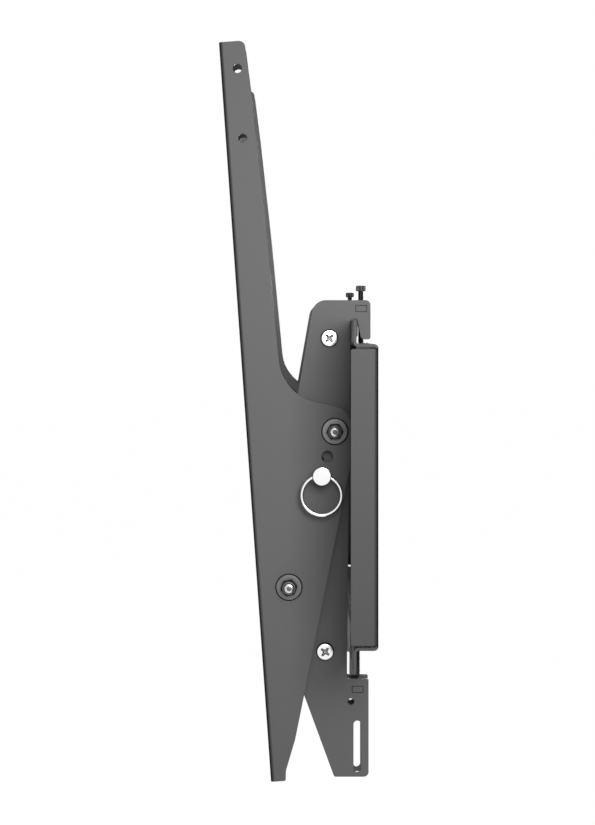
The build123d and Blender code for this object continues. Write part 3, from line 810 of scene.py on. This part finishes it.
def loft(shape, rings, closed=False):
    """Joins rings of vertices; a ring of one vertex is a point on the axis."""
    pairs = list(zip(rings, rings[1:]))
    if closed:
        pairs.append((rings[-1], rings[0]))
    for lower, upper in pairs:
        count = max(len(lower), len(upper))
        for index in range(count):
            after = (index + 1) % count
            corners = [lower[index % len(lower)], lower[after % len(lower)],
                       upper[after % len(upper)], upper[index % len(upper)]]
            unique = list(dict.fromkeys(corners))
            if len(unique) > 2:
                shape.faces.new(unique)


def ring_at(shape, height, radius, steps):
    """A ring of vertices; radius is a number or a function of the angle, and so is height."""
    vertices = []
    if not callable(radius) and radius == 0:
        return [shape.verts.new((0, 0, height))]
    for index in range(steps):
        angle = 2 * math.pi * index / steps
        reach = radius(angle) if callable(radius) else radius
        level = height(angle) if callable(height) else height
        vertices.append(shape.verts.new((reach * math.cos(angle), reach * math.sin(angle), level)))
    return vertices


def turn(name, corners, steps=STEPS, closed=False):
    """A turned solid; closed is for a profile that never meets the axis."""
    shape = bmesh.new()
    rings = [ring_at(shape, height, radius, steps) for radius, height in soften(corners)]
    loft(shape, rings, closed)
    return mesh_from(shape, name)


print("turning helpers ready")

# %% [markdown]
# ## Places, marks and smooth faces
#
# The lathe rings need each point's place about its own axis, and the plates need to know which faces lie
# in a recess or on a steep flank, where they paint shade. Both are stored in the mesh while it still
# stands on its own axis.

# %% Marks on a mesh
SHARP_ANGLE = math.radians(32)


def keep_place(mesh, shaded=None, punch_shade=1.0):
    """Stores each point's place about its own axis, and how much painted shade each face gets.

    A face that shaded picks gets painted shade in full, and one that a punch has left gets punch_shade."""
    if TURNED in mesh.attributes:
        mesh.attributes.remove(mesh.attributes[TURNED])
    layer = mesh.attributes.new(TURNED, "FLOAT_VECTOR", "POINT")
    layer.data.foreach_set("vector", [value for vertex in mesh.vertices for value in vertex.co])
    pocket = mesh.attributes.new(SHADE_MARK, "FLOAT", "FACE")
    marks = []
    for face in mesh.polygons:
        is_shaded = shaded is not None and shaded(face)
        marks.append(1.0 if is_shaded else face.material_index * punch_shade)
    pocket.data.foreach_set("value", marks)
    mesh.polygons.foreach_set("material_index", [0] * len(mesh.polygons))
    mesh.materials.clear()


def polish(mesh):
    """Smooth faces with sharp corners kept."""
    mesh.polygons.foreach_set("use_smooth", [True] * len(mesh.polygons))
    mesh.set_sharp_from_angle(angle=SHARP_ANGLE)
    mesh.update()


print("faces meet in a sharp edge above", round(math.degrees(SHARP_ANGLE)), "degrees")

# %% [markdown]
# ## Cutting and joining
#
# A socket or a cross recess is cut with a Boolean modifier. The punch's faces carry a second material
# index, so the recess can be told from the rest afterwards.

# %% Cutting and joining
CLEARANCE = 1.0


def new_object(name, mesh):
    made = bpy.data.objects.new(name, mesh)
    bpy.context.collection.objects.link(made)
    return made


def settle(made):
    """Turns an object's live modifiers into its plain mesh."""
    graph = bpy.context.evaluated_depsgraph_get()
    done = bpy.data.meshes.new_from_object(
        made.evaluated_get(graph), preserve_all_data_layers=True, depsgraph=graph)
    made.modifiers.clear()
    made.data = done
    return done


def cut(mesh, cutter_mesh):
    """The mesh with a pocket cut out of it, whose faces have the second material index."""
    for one in (mesh, cutter_mesh):
        one.materials.clear()
        one.materials.append(None)
        one.materials.append(None)
    cutter_mesh.polygons.foreach_set("material_index", [1] * len(cutter_mesh.polygons))
    body = new_object("cut_body", mesh)
    cutter = new_object("cutter", cutter_mesh)
    knife = body.modifiers.new("pocket", "BOOLEAN")
    knife.operation = "DIFFERENCE"
    knife.solver = "EXACT"
    knife.object = cutter
    done = settle(body)
    bpy.data.objects.remove(body)
    bpy.data.objects.remove(cutter)
    return done


def join(name, meshes):
    """One mesh of several that touch or overlap."""
    shape = bmesh.new()
    for mesh in meshes:
        shape.from_mesh(mesh)
    joined = bpy.data.meshes.new(name)
    shape.to_mesh(joined)
    shape.free()
    return joined


print("a punch stands out of the face by", CLEARANCE, "mm")

# %% [markdown]
# ## Hexagons and threads
#
# A hexagon is a circle whose radius depends on the angle. A thread is one too: its radius depends on the
# angle and on the height, which makes the groove climb.

# %% Hexagons and threads
TIP_SLOPE = 2.2
THREAD_DEPTH = 0.6
CREST_GAIN = 1.25
THREAD_OVERLAP = 0.5


def hexagon(flats):
    """The radius of a hexagon, by angle, with corners on the X axis."""
    sector = math.pi / 3
    return lambda angle: flats / 2 / math.cos((angle % sector) - sector / 2)


def prism(name, radius, low, high, steps=STEPS):
    """A straight punch; radius is a number or a function of the angle."""
    shape = bmesh.new()
    rings = [ring_at(shape, low, 0, steps), ring_at(shape, low, radius, steps),
             ring_at(shape, high, radius, steps), ring_at(shape, high, 0, steps)]
    loft(shape, rings)
    return mesh_from(shape, name)


def threaded_rod(name, radius, pitch, low, high, tip, steps=32, rows=6):
    """A rod along Z with a true helical thread, whose high end is a low cone round a flat tip."""
    shape = bmesh.new()
    depth = THREAD_DEPTH * pitch
    levels = int((high - low) / pitch * rows)
    rings = [ring_at(shape, low, 0, steps)]
    for level in range(levels + 1):
        height = low + (high - low) * level / levels
        room = tip + (high - height) * TIP_SLOPE

        def crest(angle, height=height, room=room):
            phase = (height / pitch - angle / (2 * math.pi)) % 1.0
            groove = abs(2 * phase - 1)
            return min(radius - depth * (1 - min(1.0, CREST_GAIN * groove)), room)

        rings.append(ring_at(shape, height, crest, steps))
    rings.append(ring_at(shape, high, 0, steps))
    loft(shape, rings)
    return mesh_from(shape, name)


print("thread helpers ready")

# %% [markdown]
# ## Copies on points
#
# One washer serves four places in each unit, one cross-head screw another four and one nut two. They
# could be copied one by one, but Geometry Nodes say it once for all. Every tree here has named inputs,
# which a modifier is given by the sockets' identifiers, and ends by realizing its copies and giving them
# their material, because copies that stay instances are lost in an export.

# %% Tree helpers


def new_tree(name, inputs):
    """A Geometry Nodes tree with named inputs, of the kinds that inputs gives."""
    tree = bpy.data.node_groups.new(name, "GeometryNodeTree")
    tree.interface.new_socket("Geometry", in_out="INPUT", socket_type="NodeSocketGeometry")
    for socket, kind in inputs.items():
        tree.interface.new_socket(socket, in_out="INPUT", socket_type=kind)
    tree.interface.new_socket("Geometry", in_out="OUTPUT", socket_type="NodeSocketGeometry")
    into = tree.nodes.new("NodeGroupInput")
    out = tree.nodes.new("NodeGroupOutput")
    return tree, into, out


def end_tree(tree, into, out, instances):
    """Realizes the copies and gives them the tree's material."""
    realize = tree.nodes.new("GeometryNodeRealizeInstances")
    paint = tree.nodes.new("GeometryNodeSetMaterial")
    tree.links.new(instances, realize.inputs["Geometry"])
    tree.links.new(realize.outputs["Geometry"], paint.inputs["Geometry"])
    tree.links.new(into.outputs["Finish"], paint.inputs["Material"])
    tree.links.new(paint.outputs["Geometry"], out.inputs["Geometry"])


def set_inputs(modifier, tree, **values):
    """Gives a modifier its tree's inputs, which it knows by their identifiers."""
    for item in tree.interface.items_tree:
        if item.in_out == "INPUT" and item.name.replace(" ", "_") in values:
            modifier[item.identifier] = values[item.name.replace(" ", "_")]


print("tree helpers ready")

# %% [markdown]
# ## The placing tree
#
# The tree puts a fastener on each point of a small mesh. How the fastener is turned there comes from an
# attribute of the point, so that those on the far side of an arm can face the other way.

# %% Placing tree
FACING = "facing"


def build_placing_tree():
    tree, into, out = new_tree(
        "fasteners_on_points", {"Fastener": "NodeSocketObject", "Finish": "NodeSocketMaterial"})
    nodes = tree.nodes
    links = tree.links
    source = nodes.new("GeometryNodeObjectInfo")
    links.new(into.outputs["Fastener"], source.inputs["Object"])
    facing = nodes.new("GeometryNodeInputNamedAttribute")
    facing.data_type = "FLOAT_VECTOR"
    facing.inputs["Name"].default_value = FACING
    copies = nodes.new("GeometryNodeInstanceOnPoints")
    links.new(into.outputs["Geometry"], copies.inputs["Points"])
    links.new(source.outputs["Geometry"], copies.inputs["Instance"])
    links.new(facing.outputs["Attribute"], copies.inputs["Rotation"])
    end_tree(tree, into, out, copies.outputs["Instances"])
    return tree


placing_tree = build_placing_tree()
print(placing_tree.name, "has", len(placing_tree.nodes), "nodes")

# %% [markdown]
# ## Placing pieces
#
# A piece of several copies is a mesh of bare points until the tree has run. Its modifier is then settled
# into a plain mesh, so that nothing live is left. A piece of one copy is simply moved to its place. The
# fasteners are drawn upright, with Z as their axis, and in the mount they all lie along Y.

# %% Placing pieces


def place_copies(name, fastener, places, finish):
    """A piece of copies of one mesh, one for each (point, outward, spin).

    Outward is -1 or 1 along Y, and spin is the turn about the fastener's own axis."""
    mesh = bpy.data.meshes.new(name)
    mesh.from_pydata([point for point, _, _ in places], [], [])
    layer = mesh.attributes.new(FACING, "FLOAT_VECTOR", "POINT")
    turns = [(-outward * math.pi / 2, outward * spin, 0.0) for _, outward, spin in places]
    layer.data.foreach_set("vector", [value for turn_to in turns for value in turn_to])
    made = new_object(name, mesh)
    source = new_object("fastener", fastener)
    modifier = made.modifiers.new("copies", "NODES")
    modifier.node_group = placing_tree
    set_inputs(modifier, placing_tree, Fastener=source, Finish=finish)
    done = settle(made)
    bpy.data.objects.remove(source)
    if FACING in done.attributes:
        done.attributes.remove(done.attributes[FACING])
    print(name, len(places), "copies", len(done.polygons), "faces")
    return made


def place_one(name, mesh, matrix, finish):
    mesh.transform(matrix)
    mesh.materials.clear()
    mesh.materials.append(finish)
    return new_object(name, mesh)


def facing_front(point):
    """Takes a mesh's own Z axis to point along -Y, at a place in metres."""
    return Matrix.Translation(point) @ Matrix.Rotation(math.pi / 2, 4, "X")


print("placing helpers ready")

# %% [markdown]
# ## Washers
#
# The washers are punched from plate, which leaves one soft and one sharp side. Seen from the front, the
# soft upper edge is a rim with painted shade round a flat face.

# %% Washers
WASHER_RADIUS = 12.0
WASHER_BORE = 4.25
WASHER_THICKNESS = 2.0
WASHER_EDGE = 0.5
WASHER_RIM = 1.1
WASHER_SHADED_FROM = WASHER_RADIUS - WASHER_RIM + 0.1


def radius_of(face):
    """How far a face's middle lies from its fastener's axis, in millimetres."""
    return math.hypot(face.center.x, face.center.y) / MM


def washer_mesh():
    mesh = turn("washer", [
        (WASHER_BORE, 0.0, 0.0),
        (WASHER_RADIUS, 0.0, 0.2),
        (WASHER_RADIUS, WASHER_EDGE, 0.2),
        (WASHER_RADIUS - WASHER_RIM, WASHER_THICKNESS, 0.3),
        (WASHER_BORE, WASHER_THICKNESS, 0.3),
    ], steps=96, closed=True)
    # Painted shade on the washer's outer rim.
    keep_place(mesh, lambda face: radius_of(face) > WASHER_SHADED_FROM)
    polish(mesh)
    return mesh


washer = washer_mesh()
print(washer.name, len(washer.polygons), "faces")

# %% [markdown]
# ## Locking nuts
#
# A locking nut is a hexagon with bevelled corners, and a round collar rolled over a nylon ring. Its rings
# of points change from a hexagon to a circle, so bevel and collar come out of one loft.

# %% Locking nuts
NUT_FLATS = 13.0
NUT_HEX_HEIGHT = 5.9
NUT_HEIGHT = 8.0
NUT_BEVEL_RADIUS = 6.25
NUT_BEVEL_ANGLE = math.radians(30)
NUT_SEAT_RADIUS = 6.55
NUT_COLLAR_RADIUS = 5.9
NUT_MOUTH_RADIUS = 4.75
NUT_MOUTH_DEPTH = 1.0
NUT_BORE_RADIUS = 4.12


def nut_mesh():
    """A nut on Z = 0; all its faces get painted shade but those of its collar."""
    shape = bmesh.new()
    corner = hexagon(NUT_FLATS)
    slope = math.tan(NUT_BEVEL_ANGLE)

    def bevelled(angle):
        return NUT_HEX_HEIGHT - max(0.0, corner(angle) - NUT_BEVEL_RADIUS) * slope

    def underside(angle):
        return max(0.0, corner(angle) - NUT_SEAT_RADIUS) * slope

    def within(limit):
        return lambda angle: min(corner(angle), limit)

    collar = soften([
        (NUT_COLLAR_RADIUS, NUT_HEX_HEIGHT, 0.0),
        (NUT_COLLAR_RADIUS - 0.1, NUT_HEIGHT, 0.9),
        (NUT_MOUTH_RADIUS, NUT_HEIGHT, 0.25),
        (NUT_MOUTH_RADIUS - 0.05, NUT_HEIGHT - NUT_MOUTH_DEPTH + 0.1, 0.2),
        (NUT_BORE_RADIUS, NUT_HEIGHT - NUT_MOUTH_DEPTH, 0.0),
        (NUT_BORE_RADIUS, 0.0, 0.0),
    ], arc_points=5)
    levels = [(within(NUT_SEAT_RADIUS), 0.0), (corner, underside), (corner, bevelled),
              (within(NUT_BEVEL_RADIUS), NUT_HEX_HEIGHT)]
    rings = [ring_at(shape, height, radius, STEPS) for radius, height in levels + collar]
    loft(shape, rings, closed=True)
    mesh = mesh_from(shape, "nut")
    shoulder = (NUT_HEX_HEIGHT + 0.1) * MM
    mouth = NUT_MOUTH_RADIUS - 0.01
    # Painted shade on the hexagon and in the collar's mouth.
    keep_place(mesh, lambda face: face.center.z < shoulder or radius_of(face) < mouth)
    polish(mesh)
    return mesh


nut = nut_mesh()
print(nut.name, len(nut.polygons), "faces")

# %% [markdown]
# ## Cross-head screws
#
# The low screws that hold the spacers have a cross recess with a small middle and four wings that taper
# inwards. It could be drawn into the head, but it is made as in a press: a punch of that shape is lofted
# from three stars first.

# %% Cross punch
CROSS_HEAD_HEIGHT = 3.4
CROSS_REACH = 9.7
CROSS_WIDTH = 2.4
CROSS_DEPTH = 1.9
WING_TAPER = 0.75
WING_ROOT = 1.25
PUNCH_POINT = 1.12
PUNCH_SCALES = (0.42, 0.72, 1.16)
PUNCH_MIDDLE = 0.55


def cross_cutter(top, depth, reach, width):
    """A cross-shaped punch whose four wings narrow towards its point."""
    shape = bmesh.new()

    def star(scale):
        half = width / 2 * scale
        long = reach / 2 * scale
        inner = half * WING_ROOT
        corners = []
        for quarter in range(4):
            turn_by = Matrix.Rotation(math.pi / 2 * quarter, 2)
            for point in ((long, -half * WING_TAPER), (long, half * WING_TAPER), (inner, inner)):
                corners.append(turn_by @ Vector(point))
        return corners

    rings = []
    heights = (top - depth, top - depth * PUNCH_MIDDLE, top + CLEARANCE)
    for height, scale in zip(heights, PUNCH_SCALES):
        rings.append([shape.verts.new((p.x, p.y, height)) for p in star(scale)])
    tip = [shape.verts.new((0, 0, top - depth * PUNCH_POINT))]
    lid = [shape.verts.new((0, 0, top + CLEARANCE))]
    loft(shape, [tip] + rings + [lid])
    return mesh_from(shape, "punch")


punch = cross_cutter(CROSS_HEAD_HEIGHT, CROSS_DEPTH, CROSS_REACH, CROSS_WIDTH)
print(punch.name, "goes", CROSS_DEPTH, "mm deep")

# %% [markdown]
# ## Heads with a cross recess
#
# The head is a low dome with a steep flank, turned in one profile with its shank. The punch is then cut
# out of it, and the recess it leaves gets some painted shade, a little darker than the dome, while the
# outer flank gets it in full.

# %% Cross-head screws
CROSS_HEAD_RADIUS = 8.0
CROSS_SHANK_RADIUS = 2.95
CROSS_SHANK_LENGTH = 9.0
CROSS_FLANK_WIDTH = 1.05
CROSS_FLANK_DROP = 0.32
CROSS_CROWN_RADIUS = 4.8
CROSS_CROWN_DROP = 0.07
CROSS_SHADED_FROM = CROSS_HEAD_RADIUS - 1.15
CROSS_RECESS_SHADE = 0.70


def cross_screw_mesh():
    """A low domed screw with its seat on Z = 0, whose outer flank gets painted shade."""
    head = turn("cross_screw", [
        (0.0, -CROSS_SHANK_LENGTH, 0.0),
        (CROSS_SHANK_RADIUS, -CROSS_SHANK_LENGTH, 0.4),
        (CROSS_SHANK_RADIUS, 0.0, 0.0),
        (CROSS_HEAD_RADIUS, 0.0, 0.1),
        (CROSS_HEAD_RADIUS - CROSS_FLANK_WIDTH, CROSS_HEAD_HEIGHT - CROSS_FLANK_DROP, 0.2),
        (CROSS_CROWN_RADIUS, CROSS_HEAD_HEIGHT - CROSS_CROWN_DROP, 3.0),
        (0.0, CROSS_HEAD_HEIGHT, 0.0),
    ], steps=96)
    mesh = cut(head, punch)
    # The recess and the outer flank get painted shade.
    keep_place(mesh, lambda face: radius_of(face) > CROSS_SHADED_FROM, punch_shade=CROSS_RECESS_SHADE)
    polish(mesh)
    return mesh


cross_screw = cross_screw_mesh()
print(cross_screw.name, len(cross_screw.polygons), "faces")

# %% [markdown]
# ## Where the fasteners go
#
# The solids say where everything sits: the middle of a bolt's box is its axis, and its lowest and
# highest Y are its two ends. So no place is written down twice.

# %% Fasteners of both units
ARM_HALF_WIDTH = 21.0 * MM
CHEEK_OUTSIDE = 13.5 * MM
WASHER_SPINS = {"upper": 0.35, "lower": 2.1}
FAR_WASHER_TURN = 1.0
SCREW_SPINS = {"upper": math.radians(42), "lower": math.radians(-38)}
NUT_SPINS = {"upper": math.radians(2), "lower": math.radians(11)}


def axis_of(node):
    """The X and Z of the middle of a node's box."""
    low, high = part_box(node)
    return (low[0] + high[0]) / 2, (low[2] + high[2]) / 2


def finish_piece(piece, body, nodes):
    """Says what a piece moves with, and hides the solids that it stands for."""
    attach(piece, body)
    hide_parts(*nodes)


for unit, middle in UNITS.items():
    washer_places = []
    nut_places = []
    screw_places = []
    near_face = middle - ARM_HALF_WIDTH
    far_face = middle + ARM_HALF_WIDTH
    for level, spin in WASHER_SPINS.items():
        x, z = axis_of(f"{unit}_{level}_bolt")
        washer_places.append(((x, near_face, z), -1, spin))
        washer_places.append(((x, far_face, z), 1, spin + FAR_WASHER_TURN))
        nut_places.append(((x, near_face - WASHER_THICKNESS * MM, z), -1, NUT_SPINS[level]))
        x, z = axis_of(f"{unit}_{level}_spacer")
        for outward in (-1, 1):
            seat = middle + outward * CHEEK_OUTSIDE
            screw_places.append(((x, seat, z), outward, SCREW_SPINS[level]))
    arm_body = f"{unit}_arm"
    washers = place_copies(f"{unit}_punched_washers", washer, washer_places, grey_zinc)
    finish_piece(washers, arm_body, [f"{unit}_washers"])
    nuts = place_copies(f"{unit}_locking_nuts", nut, nut_places, dark_zinc)
    finish_piece(nuts, arm_body, [f"{unit}_nuts"])
    screws = place_copies(f"{unit}_cross_screws", cross_screw, screw_places, bright_zinc)
    finish_piece(screws, f"{unit}_hook", [f"{unit}_spacer_screws"])

# %% [markdown]
# ## Tilt bolts
#
# A tilt bolt has a low domed head with a hexagon socket on the far side of the arm, and its thread comes
# out through the nut on the near side. The thread is a true helix: every ring of the rod is a circle
# whose radius follows the groove round.

# %% Tilt bolts
BOLT_RADIUS = 4.0
BOLT_SHANK_RADIUS = BOLT_RADIUS - 0.05
BOLT_PITCH = 1.25
BOLT_THREAD_LENGTH = 22.0
BOLT_HEAD_RADIUS = 8.0
BOLT_HEAD_HEIGHT = 4.6
BOLT_HEAD_SKIRT = 1.4
BOLT_CROWN_RADIUS = 3.6
BOLT_SOCKET_FLATS = 5.0
BOLT_SOCKET_DEPTH = 2.6
BOLT_TIP_RADIUS = 2.2
TIP_MARGIN = 0.02


def bolt_mesh(length):
    """A bolt whose head stands below its own Z = 0, so that its thread points outwards."""
    head = turn("bolt", [
        (0.0, -BOLT_HEAD_HEIGHT, 0.0),
        (BOLT_CROWN_RADIUS, -BOLT_HEAD_HEIGHT, 1.5),
        (BOLT_HEAD_RADIUS - 0.2, -BOLT_HEAD_SKIRT, 2.4),
        (BOLT_HEAD_RADIUS, 0.0, 0.2),
        (BOLT_SHANK_RADIUS, 0.0, 0.0),
        (BOLT_SHANK_RADIUS, length - BOLT_THREAD_LENGTH, 0.4),
        (0.0, length - BOLT_THREAD_LENGTH, 0.0),
    ], steps=64)
    floor_z = BOLT_SOCKET_DEPTH - BOLT_HEAD_HEIGHT
    outline = hexagon(BOLT_SOCKET_FLATS)
    head = cut(head, prism("socket", outline, -BOLT_HEAD_HEIGHT - CLEARANCE, floor_z))
    thread_start = length - BOLT_THREAD_LENGTH - THREAD_OVERLAP
    thread = threaded_rod("thread", BOLT_RADIUS, BOLT_PITCH, thread_start, length, BOLT_TIP_RADIUS)
    mesh = join("bolt", [head, thread])
    # The flat end of the thread and the socket that the punch left get painted shade.
    keep_place(mesh, lambda face: face.center.z > (length - TIP_MARGIN) * MM)
    polish(mesh)
    return mesh


print("bolt heads", 2 * BOLT_HEAD_RADIUS, "mm wide")

# %% [markdown]
# ## Bolts in place
#
# The box of each bolt's solid gives its two ends, so the length under the head is measured and not typed.

# %% Tilt bolts of both units
for unit in UNITS:
    for level in ("upper", "lower"):
        node = f"{unit}_{level}_bolt"
        low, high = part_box(node)
        x, z = axis_of(node)
        head_y = high[1] - BOLT_HEAD_HEIGHT * MM
        length = (head_y - low[1]) / MM
        place = facing_front((x, head_y, z))
        bolt = place_one(f"{node}_threaded", bolt_mesh(length), place, thread_zinc)
        finish_piece(bolt, f"{unit}_arm", [node])
print("bolt length under its head", round(length, 1), "mm")

# %% [markdown]
# ## Socket screws with knurled heads
#
# The two adjusting screws of each unit are black socket screws. The knurl round a head is many small
# upright ridges, all alike, so a Geometry Nodes tree makes them: a ridge on each point of a circle,
# turned to face away from the middle.

# %% Knurl tree
KNURL_INPUTS = {
    "Ridges": "NodeSocketInt",
    "Radius": "NodeSocketFloat",
    "Ridge size": "NodeSocketVector",
    "Finish": "NodeSocketMaterial",
}


def build_knurl_tree():
    tree, into, out = new_tree("knurl_round_a_head", KNURL_INPUTS)
    nodes = tree.nodes
    links = tree.links
    circle = nodes.new("GeometryNodeMeshCircle")
    links.new(into.outputs["Ridges"], circle.inputs["Vertices"])
    links.new(into.outputs["Radius"], circle.inputs["Radius"])
    ridge = nodes.new("GeometryNodeMeshCube")
    links.new(into.outputs["Ridge size"], ridge.inputs["Size"])
    quarter = nodes.new("GeometryNodeTransform")
    quarter.inputs["Rotation"].default_value = (0.0, 0.0, math.pi / 4)
    links.new(ridge.outputs["Mesh"], quarter.inputs["Geometry"])
    place = nodes.new("GeometryNodeInputPosition")
    aim = nodes.new("FunctionNodeAlignRotationToVector")
    aim.axis = "X"
    links.new(place.outputs["Position"], aim.inputs["Vector"])
    copies = nodes.new("GeometryNodeInstanceOnPoints")
    links.new(circle.outputs["Mesh"], copies.inputs["Points"])
    links.new(quarter.outputs["Geometry"], copies.inputs["Instance"])
    links.new(aim.outputs["Rotation"], copies.inputs["Rotation"])
    both = nodes.new("GeometryNodeJoinGeometry")
    links.new(into.outputs["Geometry"], both.inputs["Geometry"])
    links.new(copies.outputs["Instances"], both.inputs["Geometry"])
    end_tree(tree, into, out, both.outputs["Geometry"])
    return tree


knurl_tree = build_knurl_tree()
print(knurl_tree.name, "has", len(knurl_tree.nodes), "nodes")

# %% [markdown]
# ## Socket screws
#
# The screw is put together from a turned head with a hexagon socket, its knurl, and a threaded rod. The
# height screw stands on the rail with its head up, and the lock screw has its head down.

# %% Socket screws
SCREW_RADIUS = 2.5
SCREW_PITCH = 0.8
SCREW_HEAD_RADIUS = 4.25
SCREW_HEAD_HEIGHT = 5.0
SCREW_SOCKET_FLATS = 4.0
SCREW_SOCKET_DEPTH = 2.5
SCREW_TIP_RADIUS = 1.7
KNURL_COUNT = 36
KNURL_DEPTH = 0.16
KNURL_LENGTH = SCREW_HEAD_HEIGHT - 1.3


def socket_screw_mesh(length):
    """A socket screw whose head has its top at Z = 0 and whose thread ends at Z = -(length + head)."""
    core = SCREW_HEAD_RADIUS - KNURL_DEPTH
    middle = SCREW_HEAD_HEIGHT / 2
    head = turn("socket_screw", [
        (0.0, -middle, 0.0),
        (core, -middle, 0.3),
        (core, middle, 0.5),
        (0.0, middle, 0.0),
    ], steps=48)
    outline = hexagon(SCREW_SOCKET_FLATS)
    head = cut(head, prism("socket", outline, middle - SCREW_SOCKET_DEPTH, middle + CLEARANCE))
    side = KNURL_DEPTH * 2 * MM
    holder = new_object("knurled_head", head)
    modifier = holder.modifiers.new("knurl", "NODES")
    modifier.node_group = knurl_tree
    set_inputs(modifier, knurl_tree, Ridges=KNURL_COUNT, Radius=core * MM,
               Ridge_size=(side, side, KNURL_LENGTH * MM), Finish=black_oxide)
    head = settle(holder)
    bpy.data.objects.remove(holder)
    thread = threaded_rod("thread", SCREW_RADIUS, SCREW_PITCH, middle - THREAD_OVERLAP,
                          middle + length, SCREW_TIP_RADIUS, steps=24)
    thread.transform(Matrix.Rotation(math.pi, 4, "X"))
    mesh = join("socket_screw", [head, thread])
    mesh.transform(Matrix.Translation((0, 0, -middle * MM)))
    keep_place(mesh)
    polish(mesh)
    return mesh


print("knurl of", KNURL_COUNT, "ridges,", KNURL_DEPTH, "mm deep")

# %% [markdown]
# ## Adjusting screws in place
#
# Each screw is as long as the solid that it stands for. It is turned upside down where the head is at the
# lower end.

# %% Adjusting screws of both units
for unit in UNITS:
    for kind, flip in (("height_screw", 0.0), ("lock_screw", math.pi)):
        node = f"{unit}_{kind}"
        low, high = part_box(node)
        x, z = axis_of(node)
        y = (low[1] + high[1]) / 2
        top = high[2] if flip == 0.0 else low[2]
        length = (high[2] - low[2]) / MM - SCREW_HEAD_HEIGHT
        matrix = Matrix.Translation((x, y, top)) @ Matrix.Rotation(flip, 4, "X")
        screw = place_one(f"{node}_knurled", socket_screw_mesh(length), matrix, black_oxide)
        finish_piece(screw, node, [node])
print("socket screws", round(length, 1), "mm long under the head")

# %% [markdown]
# ## Lock pins
#
# The lock pin is turned from bar, with a soft-edged head, a groove behind it and a cross hole that the
# ring hangs in. It is one profile on the lathe, and a Boolean drills the hole.

# %% Lock pins
PIN_RADIUS = 5.0
PIN_HEAD_RADIUS = 8.4
PIN_HEAD_HEIGHT = 3.5
PIN_RIM_WIDTH = 0.65
PIN_FLANK = 1.9
PIN_NECK = 0.25
PIN_GROOVE = 0.8
PIN_POINT = 1.0
PIN_SHADED_FROM = PIN_HEAD_RADIUS - PIN_RIM_WIDTH + 0.05
PIN_HOLE_RADIUS = 2.32
PIN_HOLE_DEPTH = 4.1


def pin_mesh(length):
    """A pin whose head stands above its own Z = 0 and whose tip is at -length."""
    body = turn("pin", [
        (0.0, PIN_HEAD_HEIGHT, 0.0),
        (PIN_HEAD_RADIUS - PIN_RIM_WIDTH, PIN_HEAD_HEIGHT - 0.1, 0.3),
        (PIN_HEAD_RADIUS, PIN_FLANK, 0.3),
        (PIN_HEAD_RADIUS, 0.0, 0.35),
        (PIN_RADIUS - PIN_NECK, 0.0, 0.15),
        (PIN_RADIUS - PIN_NECK, -PIN_GROOVE, 0.1),
        (PIN_RADIUS, -PIN_GROOVE - PIN_NECK, 0.1),
        (PIN_RADIUS, -length + PIN_POINT, 0.3),
        (PIN_RADIUS - PIN_POINT, -length, 0.3),
        (0.0, -length, 0.0),
    ], steps=96)
    drill = prism("drill", PIN_HOLE_RADIUS, -2 * PIN_HEAD_RADIUS, 2 * PIN_HEAD_RADIUS, steps=40)
    lowered = Matrix.Translation((0, 0, -PIN_HOLE_DEPTH * MM))
    drill.transform(lowered @ Matrix.Rotation(math.pi / 2, 4, "Y"))
    mesh = cut(body, drill)
    # The head's rim and the cross hole that the drill left get painted shade.
    keep_place(mesh, lambda face: radius_of(face) > PIN_SHADED_FROM)
    polish(mesh)
    return mesh


print("pin holes", 2 * PIN_HOLE_RADIUS, "mm wide")

# %% [markdown]
# ## Pull rings
#
# The ring is one round wire bent into a circle. It comes from the lathe helper too: its profile is the
# wire's own circle, which never meets the axis. Its diameter is that of the solid's box.

# %% Pull rings
WIRE_RADIUS = 1.6
WIRE_STEPS = 20


def ring_mesh(radius):
    wire = []
    for step in range(WIRE_STEPS):
        angle = 2 * math.pi * step / WIRE_STEPS
        wire.append((radius + WIRE_RADIUS * math.cos(angle), WIRE_RADIUS * math.sin(angle), 0.0))
    mesh = turn("ring", wire, steps=128, closed=True)
    keep_place(mesh)
    polish(mesh)
    return mesh


print("wire", 2 * WIRE_RADIUS, "mm thick")

# %% [markdown]
# ## Pins and rings in place
#
# The ring swings in its pin, and the pin slides in the arm, so both are bodies of their own. Their places
# and lengths are those of their solids.

# %% Pins and rings of both units
for unit in UNITS:
    low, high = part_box(f"{unit}_lock_pin")
    x, z = axis_of(f"{unit}_lock_pin")
    seat = low[1] + PIN_HEAD_HEIGHT * MM
    length = (high[1] - seat) / MM
    place = facing_front((x, seat, z))
    pin = place_one(f"{unit}_polished_pin", pin_mesh(length), place, bright_nickel)
    finish_piece(pin, f"{unit}_lock_pin", [f"{unit}_lock_pin"])
    low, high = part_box(f"{unit}_pull_ring")
    x, z = axis_of(f"{unit}_pull_ring")
    radius = (high[0] - low[0]) / 2 / MM - WIRE_RADIUS
    y = (low[1] + high[1]) / 2
    place = facing_front((x, y, z))
    ring = place_one(f"{unit}_wire_ring", ring_mesh(radius), place, bright_nickel)
    finish_piece(ring, f"{unit}_pull_ring", [f"{unit}_pull_ring"])
print("pin", round(length, 1), "mm, ring radius", round(radius, 2), "mm")
